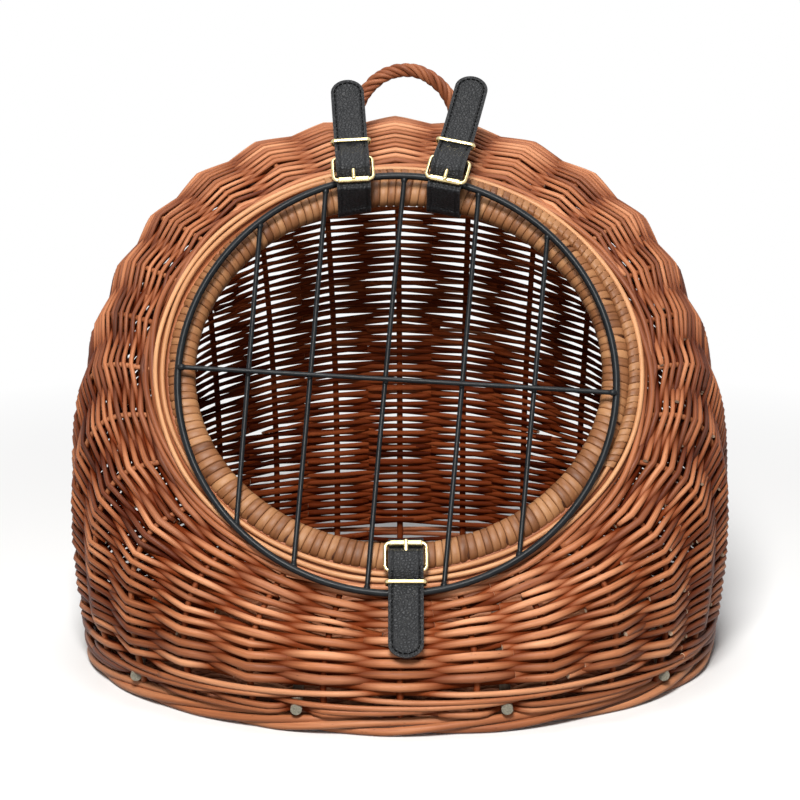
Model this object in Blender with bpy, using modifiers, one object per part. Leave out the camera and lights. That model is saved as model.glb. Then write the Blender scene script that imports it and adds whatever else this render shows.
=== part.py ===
"""Wicker pet carrier: a woven dome with a tilted round opening, a wire door hung on leather belts, and a handle.

The wall is a pot surface. Each stake starts on the level oval foot and ends on the leaning oval of the opening.
Millimetres are written as metres, and +Z is up. The opening looks towards -Y.
"""
import math

import bmesh
import bpy
from mathutils import Matrix, Vector

# Driving sizes of the wall
FOOT_HALF_WIDTH = 0.2335
FOOT_HALF_DEPTH = 0.199
MOUTH_HALF_WIDTH = 0.1605
MOUTH_HALF_HEIGHT = 0.146
MOUTH_CENTRE_Y = -0.065
MOUTH_CENTRE_Z = 0.2245
MOUTH_LEAN = math.radians(34.8)
WALL = 0.007
SCALLOP = 0.004
ROW_RELIEF = 0.0012
STAKES = 28
ROWS = 14
COLUMNS_PER_STAKE = 2
CROWN_SHIFT = -0.0035

# Reach and slope of a stake where it leaves the foot and where it meets the mouth: front, side and back
FOOT_REACH = (0.050, 0.251, 0.288)
FOOT_SLOPE = (math.radians(67), math.radians(85), math.radians(95))
MOUTH_REACH = (0.029, 0.051, 0.192)
MOUTH_SLOPE = (math.radians(3), math.radians(-3), math.radians(21))

# Foot, floor and sticks
BORDER_RADIUS = 0.0068
BORDER_LOBE = 0.0013
BORDER_STRANDS = 3
BORDER_TWISTS = 24
BORDER_RINGS_PER_TWIST = 3
BORDER_SIDES = 8
BORDER_FLAT = 0.0005
STICK_RADIUS = 0.004
STICK_PLACE_SHARES = (-0.79, -0.30, 0.31, 0.79)
STICK_PROUD = 0.001
STICK_SIDES = 12

# Rolled rim of the mouth and the two pale rods beside it
ROLL_HALF_WIDTH = 0.010
ROLL_HALF_THICKNESS = 0.0085
ROLL_SUNK = 0.0035
ROLL_LAP = 0.002
ROLL_SQUARENESS = 2.5
ROLL_SEARCH = (math.radians(10), math.radians(170))
ROLL_WRAPS = 36
ROLL_SIDES = 10
WRAP_RELIEF = 0.0003
EDGE_ROD_RADIUS = 0.0018
EDGE_ROD_FIRST = 0.0052
EDGE_ROD_PITCH = 0.0047
EDGE_ROD_KNOTS = 36

# Handle
HANDLE_SPAN = 0.078
HANDLE_RISE = 0.047
HANDLE_RADIUS = 0.0052
HANDLE_LOBE = 0.0011
HANDLE_STRANDS = 3
HANDLE_TURNS = 5.5
HANDLE_PLACE_Y = 0.066
HANDLE_CENTRE_X = 0.004
HANDLE_ROOT = 0.022
HANDLE_ROOT_SPREAD_SHARE = 0.25
HANDLE_STEPS = 28
HANDLE_ROOT_STEPS = 4
HANDLE_SIDES = 9

# Wire door: an oval ring that keeps its place against the mouth, and is round at these sizes
DOOR_INSIDE_MOUTH = 0.0079
DOOR_OUTSIDE_MOUTH = 0.0085
DOOR_WIRE = 0.0025
DOOR_DROP = 0.0125
DOOR_SHIFT = -0.0013
DOOR_TILT = math.radians(1.35)
DOOR_STANDOFF = 0.0120
HINGE_ABOVE_WIRE = 0.0004
BAR_WIRE = 0.0017
BAR_PLACE_SHARES = (-0.679, -0.398, -0.050, 0.296, 0.625)
BAR_LEANS = tuple(math.radians(lean) for lean in (3.2, 4.0, 4.8, 5.2, 5.7))
BAR_SET_BACK = 0.0010
CROSS_BAR_RISE = -0.0016
CROSS_BAR_LEAN = math.radians(3.6)
DOOR_RING_KNOTS = 52
BAR_SIDES = 8

# Belts: strap, buckle, roller, prong and keeper
STRAP_WIDTH = 0.0240
STRAP_THICKNESS = 0.0020
BUCKLE_WIRE = 0.0014
BUCKLE_LENGTH = 0.019
ROLLER_RADIUS = 0.0023
ROLLER_BORE = 0.0017
PRONG_WIRE = 0.0009
KEEPER_WIRE = 0.0010
HOLE_RADIUS = 0.0015
PRONG_SLOT = 0.0090
PRONG_RISE = 0.0054
PRONG_RISE_AT = 0.0042
PRONG_RISE_SHARE = 0.66
PRONG_TOP_SHARE = 1.7
PRONG_EYE_TURNS = (-60, -30, 0, 30, 60, 90, 120, 150)
PRONG_PAST = 0.0014
EYE_PLAY = 0.0003
SPARE_HOLE_AFTER = 0.0105
TIP_ROUND = 0.010
TIP_SHARE = 0.97
LOWER_LAYER = -0.0017
UPPER_LAYER = 0.0010
TAIL_OVER_BAR = 0.0052
BUCKLE_SIDE_ROOM = 0.0006
BUCKLE_CORNER = 0.0030
KEEPER_PLAY = 0.0005
LEAD_BEND = 0.0030
LEAD_BEND_SHARE = 0.3
PUNCH_REACH = 0.012
HOLE_REACH = 0.008

# Where the belts go: the two above the mouth hold the door, and the one below is its latch
BELT_OFFSET = 0.0323
BELTS_CENTRE_X = -0.0005
ROLLER_BEFORE_RING = 0.0054
BUCKLE_LIFT = 0.0123
LATCH_STAND_OFF = math.radians(6.651)
STRAP_LINE_SHARES = (-1, -1 / 3, 1 / 3, 1)
PASSAGE_KNOTS = (2, 12)
STRAP_STEPS = 2
PRONG_STEPS = 2
TIP_STEPS = 5
CORNER_STEPS = 3
KEEPER_CORNER_STEPS = 2
ROLLER_SIDES = 16
HOLE_SIDES = 10
SLOT_DEPTH_SHARE = 0.7
INSIDE_PLACE_SHARES = (0.86, 0.5)
ROLL_TURNS = (260, 240, 220, 200, 180, 160)
HOOK_TURNS = (215, 245, 272)
HINGE_BELT = {
    "side": 1,
    "lower_knots": ((0.0215, -0.0040), (0.0240, -0.0080)),
    "slot_place": 0.030,
    "keeper_place": 0.033,
    "keeper_holds_both": False,
    "upper_end": 0.048,
    "tail": 0.091,
    "tail_lift": 0.006,
    "spare_hole": 0.0285,
}
LATCH_BELT = {
    "name": "latch_belt",
    "x": 0.004,
    "side": -1,
    "sideways": 0,
    "lower_knots": ((0.025, LOWER_LAYER), (0.036, LOWER_LAYER), (0.043, LOWER_LAYER)),
    "slot_place": 0.055,
    "keeper_place": 0.0280,
    "keeper_holds_both": True,
    "upper_end": 0.036,
    "tail": 0.082,
    "tail_lift": 0.0045,
    "spare_hole": 0,
}
HINGE_BELT_LEAN = math.radians(12)
BELTS = (
    {**HINGE_BELT, "name": "left_belt", "x": BELTS_CENTRE_X - BELT_OFFSET, "sideways": math.radians(4)},
    {**HINGE_BELT, "name": "right_belt", "x": BELTS_CENTRE_X + BELT_OFFSET, "sideways": math.radians(-14)},
    LATCH_BELT,
)

# Clearances and shading
MERGE_DISTANCE = 0.00001
SHARP_ANGLE = math.radians(40)
GAP = 0.0003
SEAT_GAP = 0.0004
LOOP_SLACK = 0.0008
SLOT_CLEARANCE = 0.0008
OVERRUN = 0.004

# Steps of the searches along the wall, as shares of a turn or of a stake's length
SKIN_STEP_SHARE = 0.002
STRETCH_SHARE = 0.02
NUDGE_SHARE = 0.001
RISE_GUESS_SHARE = 0.93
SEARCH_STEPS = 80
HALVINGS = 30
NEWTON_STEPS = 8
ROUND_SIDES = 72

X_AXIS = Vector((1, 0, 0))
Z_AXIS = Vector((0, 0, 1))


def clear_scene():
    for item in list(bpy.data.objects):
        bpy.data.objects.remove(item, do_unlink=True)


def new_collection(name):
    made = bpy.data.collections.new(name)
    bpy.context.scene.collection.children.link(made)
    return made


def make_material(name, colour, roughness, metallic=0.0):
    material = bpy.data.materials.new(name)
    material.use_nodes = True
    shader = material.node_tree.nodes["Principled BSDF"]
    shader.inputs["Base Color"].default_value = (*colour, 1)
    shader.inputs["Roughness"].default_value = roughness
    shader.inputs["Metallic"].default_value = metallic
    return material


def add_object(name, data, material, parent=None):
    item = bpy.data.objects.new(name, data)
    parts.objects.link(item)
    item.data.materials.append(material)
    item.parent = parent
    return item


def as_cutter(item):
    parts.objects.unlink(item)
    cutters.objects.link(item)
    item.hide_render = True
    item.display_type = "WIRE"
    return item


def cut(target, cutter, operation="DIFFERENCE"):
    modifier = target.modifiers.new(cutter.name, "BOOLEAN")
    modifier.operation = operation
    modifier.object = cutter


def solidify(item, thickness, offset):
    modifier = item.modifiers.new("Thickness", "SOLIDIFY")
    modifier.thickness = thickness
    modifier.offset = offset
    modifier.use_even_offset = True


def loft(name, rings, material, closed, parent=None):
    """A skin through rings of points. A closed loft joins its last ring to its first, an open one has end caps."""
    mesh = bpy.data.meshes.new(name)
    count = len(rings[0])
    points = [point for ring in rings for point in ring]
    faces = []
    for row in range(len(rings) if closed else len(rings) - 1):
        above = (row + 1) % len(rings)
        for column in range(count):
            beside = (column + 1) % count
            faces.append((row * count + column, row * count + beside, above * count + beside, above * count + column))
    if not closed:
        faces.append(tuple(reversed(range(count))))
        faces.append(tuple((len(rings) - 1) * count + column for column in range(count)))
    mesh.from_pydata(points, [], faces)
    builder = bmesh.new()
    builder.from_mesh(mesh)
    bmesh.ops.recalc_face_normals(builder, faces=builder.faces)
    builder.to_mesh(mesh)
    builder.free()
    mesh.shade_smooth()
    return add_object(name, mesh, material, parent)


def strip(name, rows, material, wrap, parent=None):
    """An open skin through rows of points, to be thickened. A wrapped strip joins each row's end to its start."""
    mesh = bpy.data.meshes.new(name)
    count = len(rows[0])
    faces = []
    for row in range(len(rows) - 1):
        for column in range(count if wrap else count - 1):
            beside = (column + 1) % count
            faces.append(
                (row * count + column, row * count + beside, (row + 1) * count + beside, (row + 1) * count + column)
            )
    mesh.from_pydata([point for row in rows for point in row], [], faces)
    mesh.shade_smooth()
    return add_object(name, mesh, material, parent)


def wire(name, points, radius, material, cyclic=False, parent=None, resolution=2):
    curve = bpy.data.curves.new(name, "CURVE")
    curve.dimensions = "3D"
    curve.bevel_depth = radius
    curve.bevel_resolution = resolution
    curve.use_fill_caps = not cyclic
    spline = curve.splines.new("POLY")
    spline.points.add(len(points) - 1)
    for knot, point in zip(spline.points, points):
        knot.co = (*point, 1)
    spline.use_cyclic_u = cyclic
    spline.use_smooth = True
    return add_object(name, curve, material, parent)


def cylinder(name, radius, length, place, axis, material, sides, parent=None):
    mesh = bpy.data.meshes.new(name)
    builder = bmesh.new()
    bmesh.ops.create_cone(
        builder, cap_ends=True, segments=sides, radius1=radius, radius2=radius, depth=length
    )
    builder.to_mesh(mesh)
    builder.free()
    mesh.shade_smooth()
    mesh.set_sharp_from_angle(angle=SHARP_ANGLE)
    item = add_object(name, mesh, material, parent)
    item.location = place
    item.rotation_mode = "QUATERNION"
    item.rotation_quaternion = Vector(axis).to_track_quat("Z", "Y")
    return item


def smooth_path(knots, steps):
    """A Catmull-Rom curve through the knots, with the given number of steps between two of them."""
    ends = [knots[0] * 2 - knots[1], *knots, knots[-1] * 2 - knots[-2]]
    path = []
    for index in range(1, len(ends) - 2):
        before, start, end, after = ends[index - 1 : index + 3]
        for step in range(steps):
            t = step / steps
            path.append(
                0.5
                * (
                    2 * start
                    + (end - before) * t
                    + (2 * before - 5 * start + 4 * end - after) * t**2
                    + (3 * start - before - 3 * end + after) * t**3
                )
            )
    path.append(knots[-1].copy())
    return path


def three_way(values, depth_share):
    """A value given at the front, side and back, for a stake whose sine round the foot is depth_share."""
    front, side, back = values
    return side + (back - front) / 2 * depth_share + ((back + front) / 2 - side) * depth_share**2


mouth_up = Vector((0, math.sin(MOUTH_LEAN), math.cos(MOUTH_LEAN)))
mouth_out = Vector((0, -math.cos(MOUTH_LEAN), math.sin(MOUTH_LEAN)))
border_top = 2 * BORDER_RADIUS - BORDER_FLAT
wall_foot_z = border_top + GAP
floor_thickness = wall_foot_z
crown_height = MOUTH_CENTRE_Z + MOUTH_HALF_HEIGHT


def sideways(point):
    """The dome leans a little to one side, as a hand-woven one does."""
    share = point.z / crown_height
    return Vector((point.x + CROWN_SHIFT * share**2 * abs(share), point.y, point.z))


def mouth_centre():
    return sideways(Vector((0, MOUTH_CENTRE_Y, MOUTH_CENTRE_Z)))


def wall_skin(angle, rise):
    """A point on the wall's outer skin over the stakes: rise is 0 at the foot and 1 at the mouth."""
    across, depth = math.cos(angle), math.sin(angle)
    foot = Vector((FOOT_HALF_WIDTH * across, FOOT_HALF_DEPTH * depth, wall_foot_z - WALL / 2))
    outward = Vector((across, depth, 0))
    foot_slope = three_way(FOOT_SLOPE, depth)
    mouth_slope = three_way(MOUTH_SLOPE, depth)
    centre = Vector((0, MOUTH_CENTRE_Y, MOUTH_CENTRE_Z))
    mouth = centre + X_AXIS * (MOUTH_HALF_WIDTH * across) + mouth_up * (MOUTH_HALF_HEIGHT * depth)
    away = X_AXIS * across + mouth_up * depth
    foot_pull = foot + three_way(FOOT_REACH, depth) * (
        outward * math.cos(foot_slope) + Z_AXIS * math.sin(foot_slope)
    )
    mouth_pull = mouth + three_way(MOUTH_REACH, depth) * (
        away * math.cos(mouth_slope) - mouth_out * math.sin(mouth_slope)
    )
    fall = 1 - rise
    point = (
        fall**3 * foot + 3 * fall**2 * rise * foot_pull + 3 * fall * rise**2 * mouth_pull + rise**3 * mouth
    )
    return sideways(point)


def wall_frame(angle, rise):
    """The skin's point, its outward normal and the direction that climbs towards the mouth."""
    step = SKIN_STEP_SHARE
    here = wall_skin(angle, rise)
    climb = wall_skin(angle, min(rise + step, 1)) - wall_skin(angle, max(rise - step, 0))
    along = wall_skin(angle + step, rise) - wall_skin(angle - step, rise)
    normal = along.cross(climb).normalized()
    return here, normal, climb.normalized()


def build_wall(material):
    columns = STAKES * COLUMNS_PER_STAKE
    rows = []
    for row in range(ROWS + 1):
        ring = []
        for column in range(columns):
            angle = 2 * math.pi * column / columns
            point, normal, climb = wall_frame(angle, row / ROWS)
            between = 0.5 - 0.5 * math.cos(STAKES * angle)
            stake = round(STAKES * angle / (2 * math.pi))
            over = 1 if (stake + row) % 2 else -1
            inset = SCALLOP * between + ROW_RELIEF * (1 + over * (1 - between))
            ring.append(point - normal * inset)
        rows.append(ring)
    wall = strip("basket_wall", rows, material, wrap=True)
    solidify(wall, WALL, -1)
    trim_size = (3 * FOOT_HALF_WIDTH, 3 * FOOT_HALF_DEPTH, 2 * wall_foot_z)
    cut(wall, box_cutter("foot_trim", trim_size, (0, 0, 0), None))
    return wall


def swept_ring(name, centre_of, count, section_of, material):
    """A closed tube whose section may turn as it goes: section_of gives each ring's points in its own frame."""
    rings = []
    for index in range(count):
        centre, side, up = centre_of(2 * math.pi * index / count)
        rings.append([centre + side * a + up * b for a, b in section_of(index)])
    return loft(name, rings, material, closed=True)


def lobed_section(radius, lobe, strands, turn, sides):
    points = []
    for side in range(sides):
        angle = 2 * math.pi * side / sides
        reach = radius - lobe + lobe * math.cos(strands * (angle - turn))
        points.append((reach * math.cos(angle), reach * math.sin(angle)))
    return points


def build_border(material):
    def centre_of(angle):
        outward = Vector((math.cos(angle) / FOOT_HALF_WIDTH, math.sin(angle) / FOOT_HALF_DEPTH, 0)).normalized()
        place = Vector((FOOT_HALF_WIDTH * math.cos(angle), FOOT_HALF_DEPTH * math.sin(angle), 0))
        return place - outward * BORDER_RADIUS + Z_AXIS * (BORDER_RADIUS - BORDER_FLAT), outward, Z_AXIS

    count = BORDER_TWISTS * BORDER_RINGS_PER_TWIST

    def section_of(index):
        turn = 2 * math.pi * BORDER_TWISTS * index / count / BORDER_STRANDS
        return [
            (a, max(b, BORDER_FLAT - BORDER_RADIUS))
            for a, b in lobed_section(BORDER_RADIUS, BORDER_LOBE, BORDER_STRANDS, turn, BORDER_SIDES)
        ]

    return swept_ring("foot_border", centre_of, count, section_of, material)


def build_floor(material):
    inset = 2 * BORDER_RADIUS + SEAT_GAP
    mesh = bpy.data.meshes.new("base_floor")
    builder = bmesh.new()
    bmesh.ops.create_cone(
        builder, cap_ends=True, segments=ROUND_SIDES, radius1=1, radius2=1, depth=floor_thickness
    )
    builder.to_mesh(mesh)
    builder.free()
    mesh.transform(
        Matrix.Diagonal((FOOT_HALF_WIDTH - inset, FOOT_HALF_DEPTH - inset, 1, 1))
        @ Matrix.Translation((0, 0, floor_thickness / 2))
    )
    return add_object("base_floor", mesh, material)


def foot_chord(x):
    """Half the length of the foot's oval at this distance from its middle."""
    return FOOT_HALF_DEPTH * math.sqrt(1 - (x / FOOT_HALF_WIDTH) ** 2)


def build_sticks(wall, material):
    centre_z = wall_foot_z + STICK_RADIUS + SEAT_GAP
    for number, share in enumerate(STICK_PLACE_SHARES, 1):
        x = share * FOOT_HALF_WIDTH
        length = 2 * (foot_chord(abs(x)) + STICK_PROUD)
        place = (x, 0, centre_z)
        stick = cylinder(f"base_stick_{number}", STICK_RADIUS, length, place, (0, 1, 0), material, STICK_SIDES)
        wider = STICK_RADIUS + SEAT_GAP
        longer = length + OVERRUN
        hole = cylinder(f"stick_hole_{number}", wider, longer, place, (0, 1, 0), material, STICK_SIDES)
        cut(wall, as_cutter(hole))
        stick.data.shade_smooth()
        stick.data.set_sharp_from_angle(angle=SHARP_ANGLE)


def roll_frame(angle):
    inset = ROLL_HALF_WIDTH - ROLL_LAP
    wide, high = MOUTH_HALF_WIDTH - inset, MOUTH_HALF_HEIGHT - inset
    across, up = math.cos(angle), math.sin(angle)
    centre = mouth_centre() + X_AXIS * (wide * across) + mouth_up * (high * up) - mouth_out * ROLL_SUNK
    side = (X_AXIS * (across / wide) + mouth_up * (up / high)).normalized()
    return centre, side, mouth_out


def roll_shares(turn):
    """A place round the roll's section, which is a little squarer than an oval, as shares of its half sizes."""
    across, out = math.cos(turn), math.sin(turn)
    reach = (abs(across) ** ROLL_SQUARENESS + abs(out) ** ROLL_SQUARENESS) ** (-1 / ROLL_SQUARENESS)
    return across * reach, out * reach


def roll_section(grow):
    points = []
    for side in range(ROLL_SIDES):
        across, out = roll_shares(2 * math.pi * (side + 0.5) / ROLL_SIDES)
        points.append(((ROLL_HALF_WIDTH + grow) * across, (ROLL_HALF_THICKNESS + grow) * out))
    return points


def build_roll(wall, material):
    count = 2 * ROLL_WRAPS

    def wrapped(index):
        return roll_section(WRAP_RELIEF * (0.5 if index % 2 else -0.5) - WRAP_RELIEF / 2)

    roll = swept_ring("opening_rim", roll_frame, count, wrapped, material)
    seat = swept_ring("rim_seat", roll_frame, count, lambda index: roll_section(SEAT_GAP), material)
    cut(wall, as_cutter(seat))
    return roll


def build_edge_rods(material):
    for number in range(2):
        distance = EDGE_ROD_FIRST + number * EDGE_ROD_PITCH
        points = []
        for index in range(EDGE_ROD_KNOTS):
            angle = 2 * math.pi * index / EDGE_ROD_KNOTS
            speed = (wall_skin(angle, 1) - wall_skin(angle, 1 - STRETCH_SHARE)).length / STRETCH_SHARE
            point, normal, _ = wall_frame(angle, 1 - distance / speed)
            points.append(point + normal * (EDGE_ROD_RADIUS + GAP))
        wire(f"rim_edge_rod_{number + 1}", points, EDGE_ROD_RADIUS, material, cyclic=True, resolution=1)


def skin_height(x, y):
    """The height of the dome's top above a place on the floor, found by halving the climb of the nearest stake."""
    best = None
    for turn in range(SEARCH_STEPS):
        angle = math.pi * (turn + 0.5) / SEARCH_STEPS
        for climb in range(SEARCH_STEPS // 2, SEARCH_STEPS):
            point = wall_skin(angle, climb / SEARCH_STEPS)
            off = math.hypot(point.x - x, point.y - y)
            if point.z > MOUTH_CENTRE_Z and (best is None or off < best[0]):
                best = (off, point.z)
    return best[1]


def build_handle(wall, material):
    half_span = HANDLE_SPAN / 2
    foot_z = skin_height(HANDLE_CENTRE_X, HANDLE_PLACE_Y)
    knots = []
    for index in range(-HANDLE_ROOT_STEPS, HANDLE_STEPS + HANDLE_ROOT_STEPS + 1):
        angle = math.pi * (1 - index / HANDLE_STEPS)
        if 0 <= index <= HANDLE_STEPS:
            x, z = half_span * math.cos(angle), HANDLE_RISE * math.sin(angle)
        else:
            past = max(-index, index - HANDLE_STEPS) / HANDLE_ROOT_STEPS
            spread = half_span + HANDLE_ROOT * HANDLE_ROOT_SPREAD_SHARE * past**2
            x, z = math.copysign(spread, index), -HANDLE_ROOT * past
        knots.append(Vector((HANDLE_CENTRE_X + x, HANDLE_PLACE_Y, foot_z + z)))
    rings, seats = [], []
    for index, place in enumerate(knots):
        ahead = knots[min(index + 1, len(knots) - 1)] - knots[max(index - 1, 0)]
        side = ahead.normalized().cross(Vector((0, 1, 0)))
        up = Vector((0, 1, 0))
        turn = 2 * math.pi * HANDLE_TURNS * index / len(knots)
        section = lobed_section(HANDLE_RADIUS, HANDLE_LOBE, HANDLE_STRANDS, turn, HANDLE_SIDES)
        rings.append([place + side * a + up * b for a, b in section])
        if index % 2 == 0:
            seat = lobed_section(HANDLE_RADIUS + 2 * SEAT_GAP, 0, HANDLE_STRANDS, 0, HANDLE_SIDES)
            seats.append([place + side * a + up * b for a, b in seat])
    loft("handle", rings, material, closed=False)
    cut(wall, as_cutter(loft("handle_seat", seats, material, closed=False)))


def frame_matrix(place, x_axis, y_axis, z_axis):
    return Matrix.Translation(place) @ Matrix((x_axis, y_axis, z_axis)).transposed().to_4x4()


def add_empty(name, matrix):
    empty = bpy.data.objects.new(name, None)
    parts.objects.link(empty)
    empty.matrix_world = matrix
    return empty


door_up = (mouth_up * math.cos(DOOR_TILT) + mouth_out * math.sin(DOOR_TILT)).normalized()
door_out = (mouth_out * math.cos(DOOR_TILT) - mouth_up * math.sin(DOOR_TILT)).normalized()
door_centre = mouth_centre() + X_AXIS * DOOR_SHIFT + mouth_out * DOOR_STANDOFF - mouth_up * DOOR_DROP
door_half_width = MOUTH_HALF_WIDTH - DOOR_INSIDE_MOUTH
door_half_height = MOUTH_HALF_HEIGHT + DOOR_OUTSIDE_MOUTH


def ring_height(x):
    """How far the door ring rises over its own middle at this distance to the side."""
    return door_half_height * math.sqrt(1 - (x / door_half_width) ** 2)


hinge_rise = ring_height(BELT_OFFSET) + HINGE_ABOVE_WIRE
hinge_point = door_centre + door_up * hinge_rise


def inside_ring(place, direction, room):
    """The middle and half length of a straight bar through this place, kept the given room inside the ring."""
    wide, high = door_half_width - room, door_half_height - room
    square = (direction.x / wide) ** 2 + (direction.z / high) ** 2
    cross = place.x * direction.x / wide**2 + place.z * direction.z / high**2
    past = (place.x / wide) ** 2 + (place.z / high) ** 2 - 1
    return place - direction * (cross / square), math.sqrt(cross**2 - square * past) / square


def leaning(lean):
    """The directions up and across the door for a bar that leans this much to the right."""
    return Vector((math.sin(lean), 0, math.cos(lean))), Vector((math.cos(lean), 0, -math.sin(lean)))


def build_door(material):
    """The door's own frame has its origin on the hinge line, +Z up the door and -Y out of the basket."""
    hinge = add_empty("door_hinge", frame_matrix(hinge_point, X_AXIS, -door_out, door_up))
    centre = Vector((0, 0, -hinge_rise))
    ring = []
    for index in range(DOOR_RING_KNOTS):
        angle = 2 * math.pi * index / DOOR_RING_KNOTS
        ring.append(centre + Vector((door_half_width * math.cos(angle), 0, door_half_height * math.sin(angle))))
    wire("door_ring", ring, DOOR_WIRE, material, cyclic=True, parent=hinge, resolution=1)
    bars = []
    for number, (share, lean) in enumerate(zip(BAR_PLACE_SHARES, BAR_LEANS), 1):
        upward, sideward = leaning(lean)
        bars.append((f"door_bar_{number}", upward, sideward, share * door_half_width, BAR_SET_BACK))
    in_front = BAR_SET_BACK - 2 * BAR_WIRE - GAP
    upward, sideward = leaning(CROSS_BAR_LEAN)
    bars.append(("door_cross_bar", sideward, upward, CROSS_BAR_RISE, in_front))
    for name, along, across, offset, set_back in bars:
        outer_edge = offset + math.copysign(BAR_WIRE, offset)
        _, reach = inside_ring(across * outer_edge, along, DOOR_WIRE + GAP)
        middle, _ = inside_ring(across * offset, along, DOOR_WIRE + GAP)
        place = centre + middle + Vector((0, set_back, 0))
        cylinder(name, BAR_WIRE, 2 * reach, place, along, material, BAR_SIDES, hinge)


def rounded_rectangle(half_wide, low, high, corner, steps):
    """Points round a rectangle with round corners: x across, and from low to high."""
    points = []
    for across, along, start in ((1, high, 0), (-1, high, 90), (-1, low, 180), (1, low, 270)):
        inward = -corner if along == high else corner
        for step in range(steps + 1):
            angle = math.radians(start + 90 * step / steps)
            x = across * (half_wide - corner) + corner * math.cos(angle)
            points.append((x, along + inward + corner * math.sin(angle)))
    return points


def roller_mesh(length):
    mesh = bpy.data.meshes.new("roller")
    half = length / 2
    profile = [
        (ROLLER_RADIUS, 0, half),
        (ROLLER_RADIUS, 0, -half),
        (ROLLER_BORE, 0, -half),
        (ROLLER_BORE, 0, half),
    ]
    mesh.from_pydata(profile, [(0, 1), (1, 2), (2, 3), (3, 0)], [])
    return mesh


def build_buckle(name, frame, belt, material):
    """Frame, roller, prong and keeper of one belt. In its frame X is across, Y runs to the tail and Z is outward."""
    bar_half = STRAP_WIDTH / 2 + BUCKLE_SIDE_ROOM + BUCKLE_WIRE
    outline = rounded_rectangle(bar_half, 0, BUCKLE_LENGTH, BUCKLE_CORNER, CORNER_STEPS)
    wire(f"{name}_buckle_frame", [Vector((x, y, 0)) for x, y in outline], BUCKLE_WIRE, material, True, frame, 1)

    roller = add_object(f"{name}_roller", roller_mesh(2 * (bar_half - BUCKLE_CORNER - GAP)), material, frame)
    screw = roller.modifiers.new("Turn", "SCREW")
    screw.steps = screw.render_steps = ROLLER_SIDES
    screw.use_merge_vertices = True
    screw.merge_threshold = MERGE_DISTANCE
    roller.rotation_euler = (0, math.radians(90), 0)

    eye = BUCKLE_WIRE + PRONG_WIRE + EYE_PLAY
    finger = []
    for degrees in PRONG_EYE_TURNS:
        angle = math.radians(degrees)
        finger.append(Vector((0, eye * math.cos(angle), eye * math.sin(angle))))
    rest = ROLLER_RADIUS + PRONG_WIRE + SEAT_GAP
    knots = [
        finger[-1],
        Vector((0, -PRONG_RISE_AT, PRONG_RISE * PRONG_RISE_SHARE)),
        Vector((0, -PRONG_RISE_AT * PRONG_TOP_SHARE, PRONG_RISE)),
        Vector((0, -(PRONG_RISE_AT + BUCKLE_LENGTH) / 2, (PRONG_RISE + rest) / 2)),
        Vector((0, -BUCKLE_LENGTH, rest)),
        Vector((0, -BUCKLE_LENGTH - PRONG_PAST, rest - PRONG_WIRE / 2)),
    ]
    finger += smooth_path(knots, PRONG_STEPS)[1:]
    prong = wire(f"{name}_prong", finger, PRONG_WIRE, material, False, frame, 1)
    prong.location = (0, BUCKLE_LENGTH, 0)

    half_wide = STRAP_WIDTH / 2 + KEEPER_PLAY + KEEPER_WIRE
    lowest = LOWER_LAYER if belt["keeper_holds_both"] else UPPER_LAYER
    low = lowest - STRAP_THICKNESS / 2 - KEEPER_PLAY - KEEPER_WIRE
    high = UPPER_LAYER + STRAP_THICKNESS / 2 + KEEPER_PLAY + KEEPER_WIRE
    loop = rounded_rectangle(half_wide, low, high, 2 * KEEPER_WIRE, KEEPER_CORNER_STEPS)
    keeper = wire(f"{name}_keeper", [Vector((x, 0, z)) for x, z in loop], KEEPER_WIRE, material, True, frame, 1)
    keeper.location = (0, belt["keeper_place"], 0)


def roll_middle(inverse, side, across):
    """Where the rolled rim's middle line crosses a belt's lengthwise plane, in the belt's own Y and Z."""
    low, high = ROLL_SEARCH
    rising = (inverse @ roll_frame(side * high)[0]).x > (inverse @ roll_frame(side * low)[0]).x
    for _ in range(HALVINGS):
        middle = (low + high) / 2
        spot = inverse @ roll_frame(side * middle)[0]
        if (spot.x < across) == rising:
            low = middle
        else:
            high = middle
    return Vector((spot.y, spot.z))


def from_skin(inverse, angle, across, along, depth):
    """The point this deep under the wall's skin, found by Newton steps from a guess near the mouth."""
    rise = RISE_GUESS_SHARE
    nudge = NUDGE_SHARE
    for _ in range(NEWTON_STEPS):
        here = inverse @ wall_skin(angle, rise)
        turned = (inverse @ wall_skin(angle + nudge, rise) - here) / nudge
        climbed = (inverse @ wall_skin(angle, rise + nudge) - here) / nudge
        off_x, off_y = across - here.x, along - here.y
        scale = turned.x * climbed.y - climbed.x * turned.y
        angle += (off_x * climbed.y - climbed.x * off_y) / scale
        rise += (turned.x * off_y - off_x * turned.y) / scale
    point, normal, _ = wall_frame(angle, rise)
    spot = inverse @ (point - normal * depth)
    return Vector((spot.y, spot.z))


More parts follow.
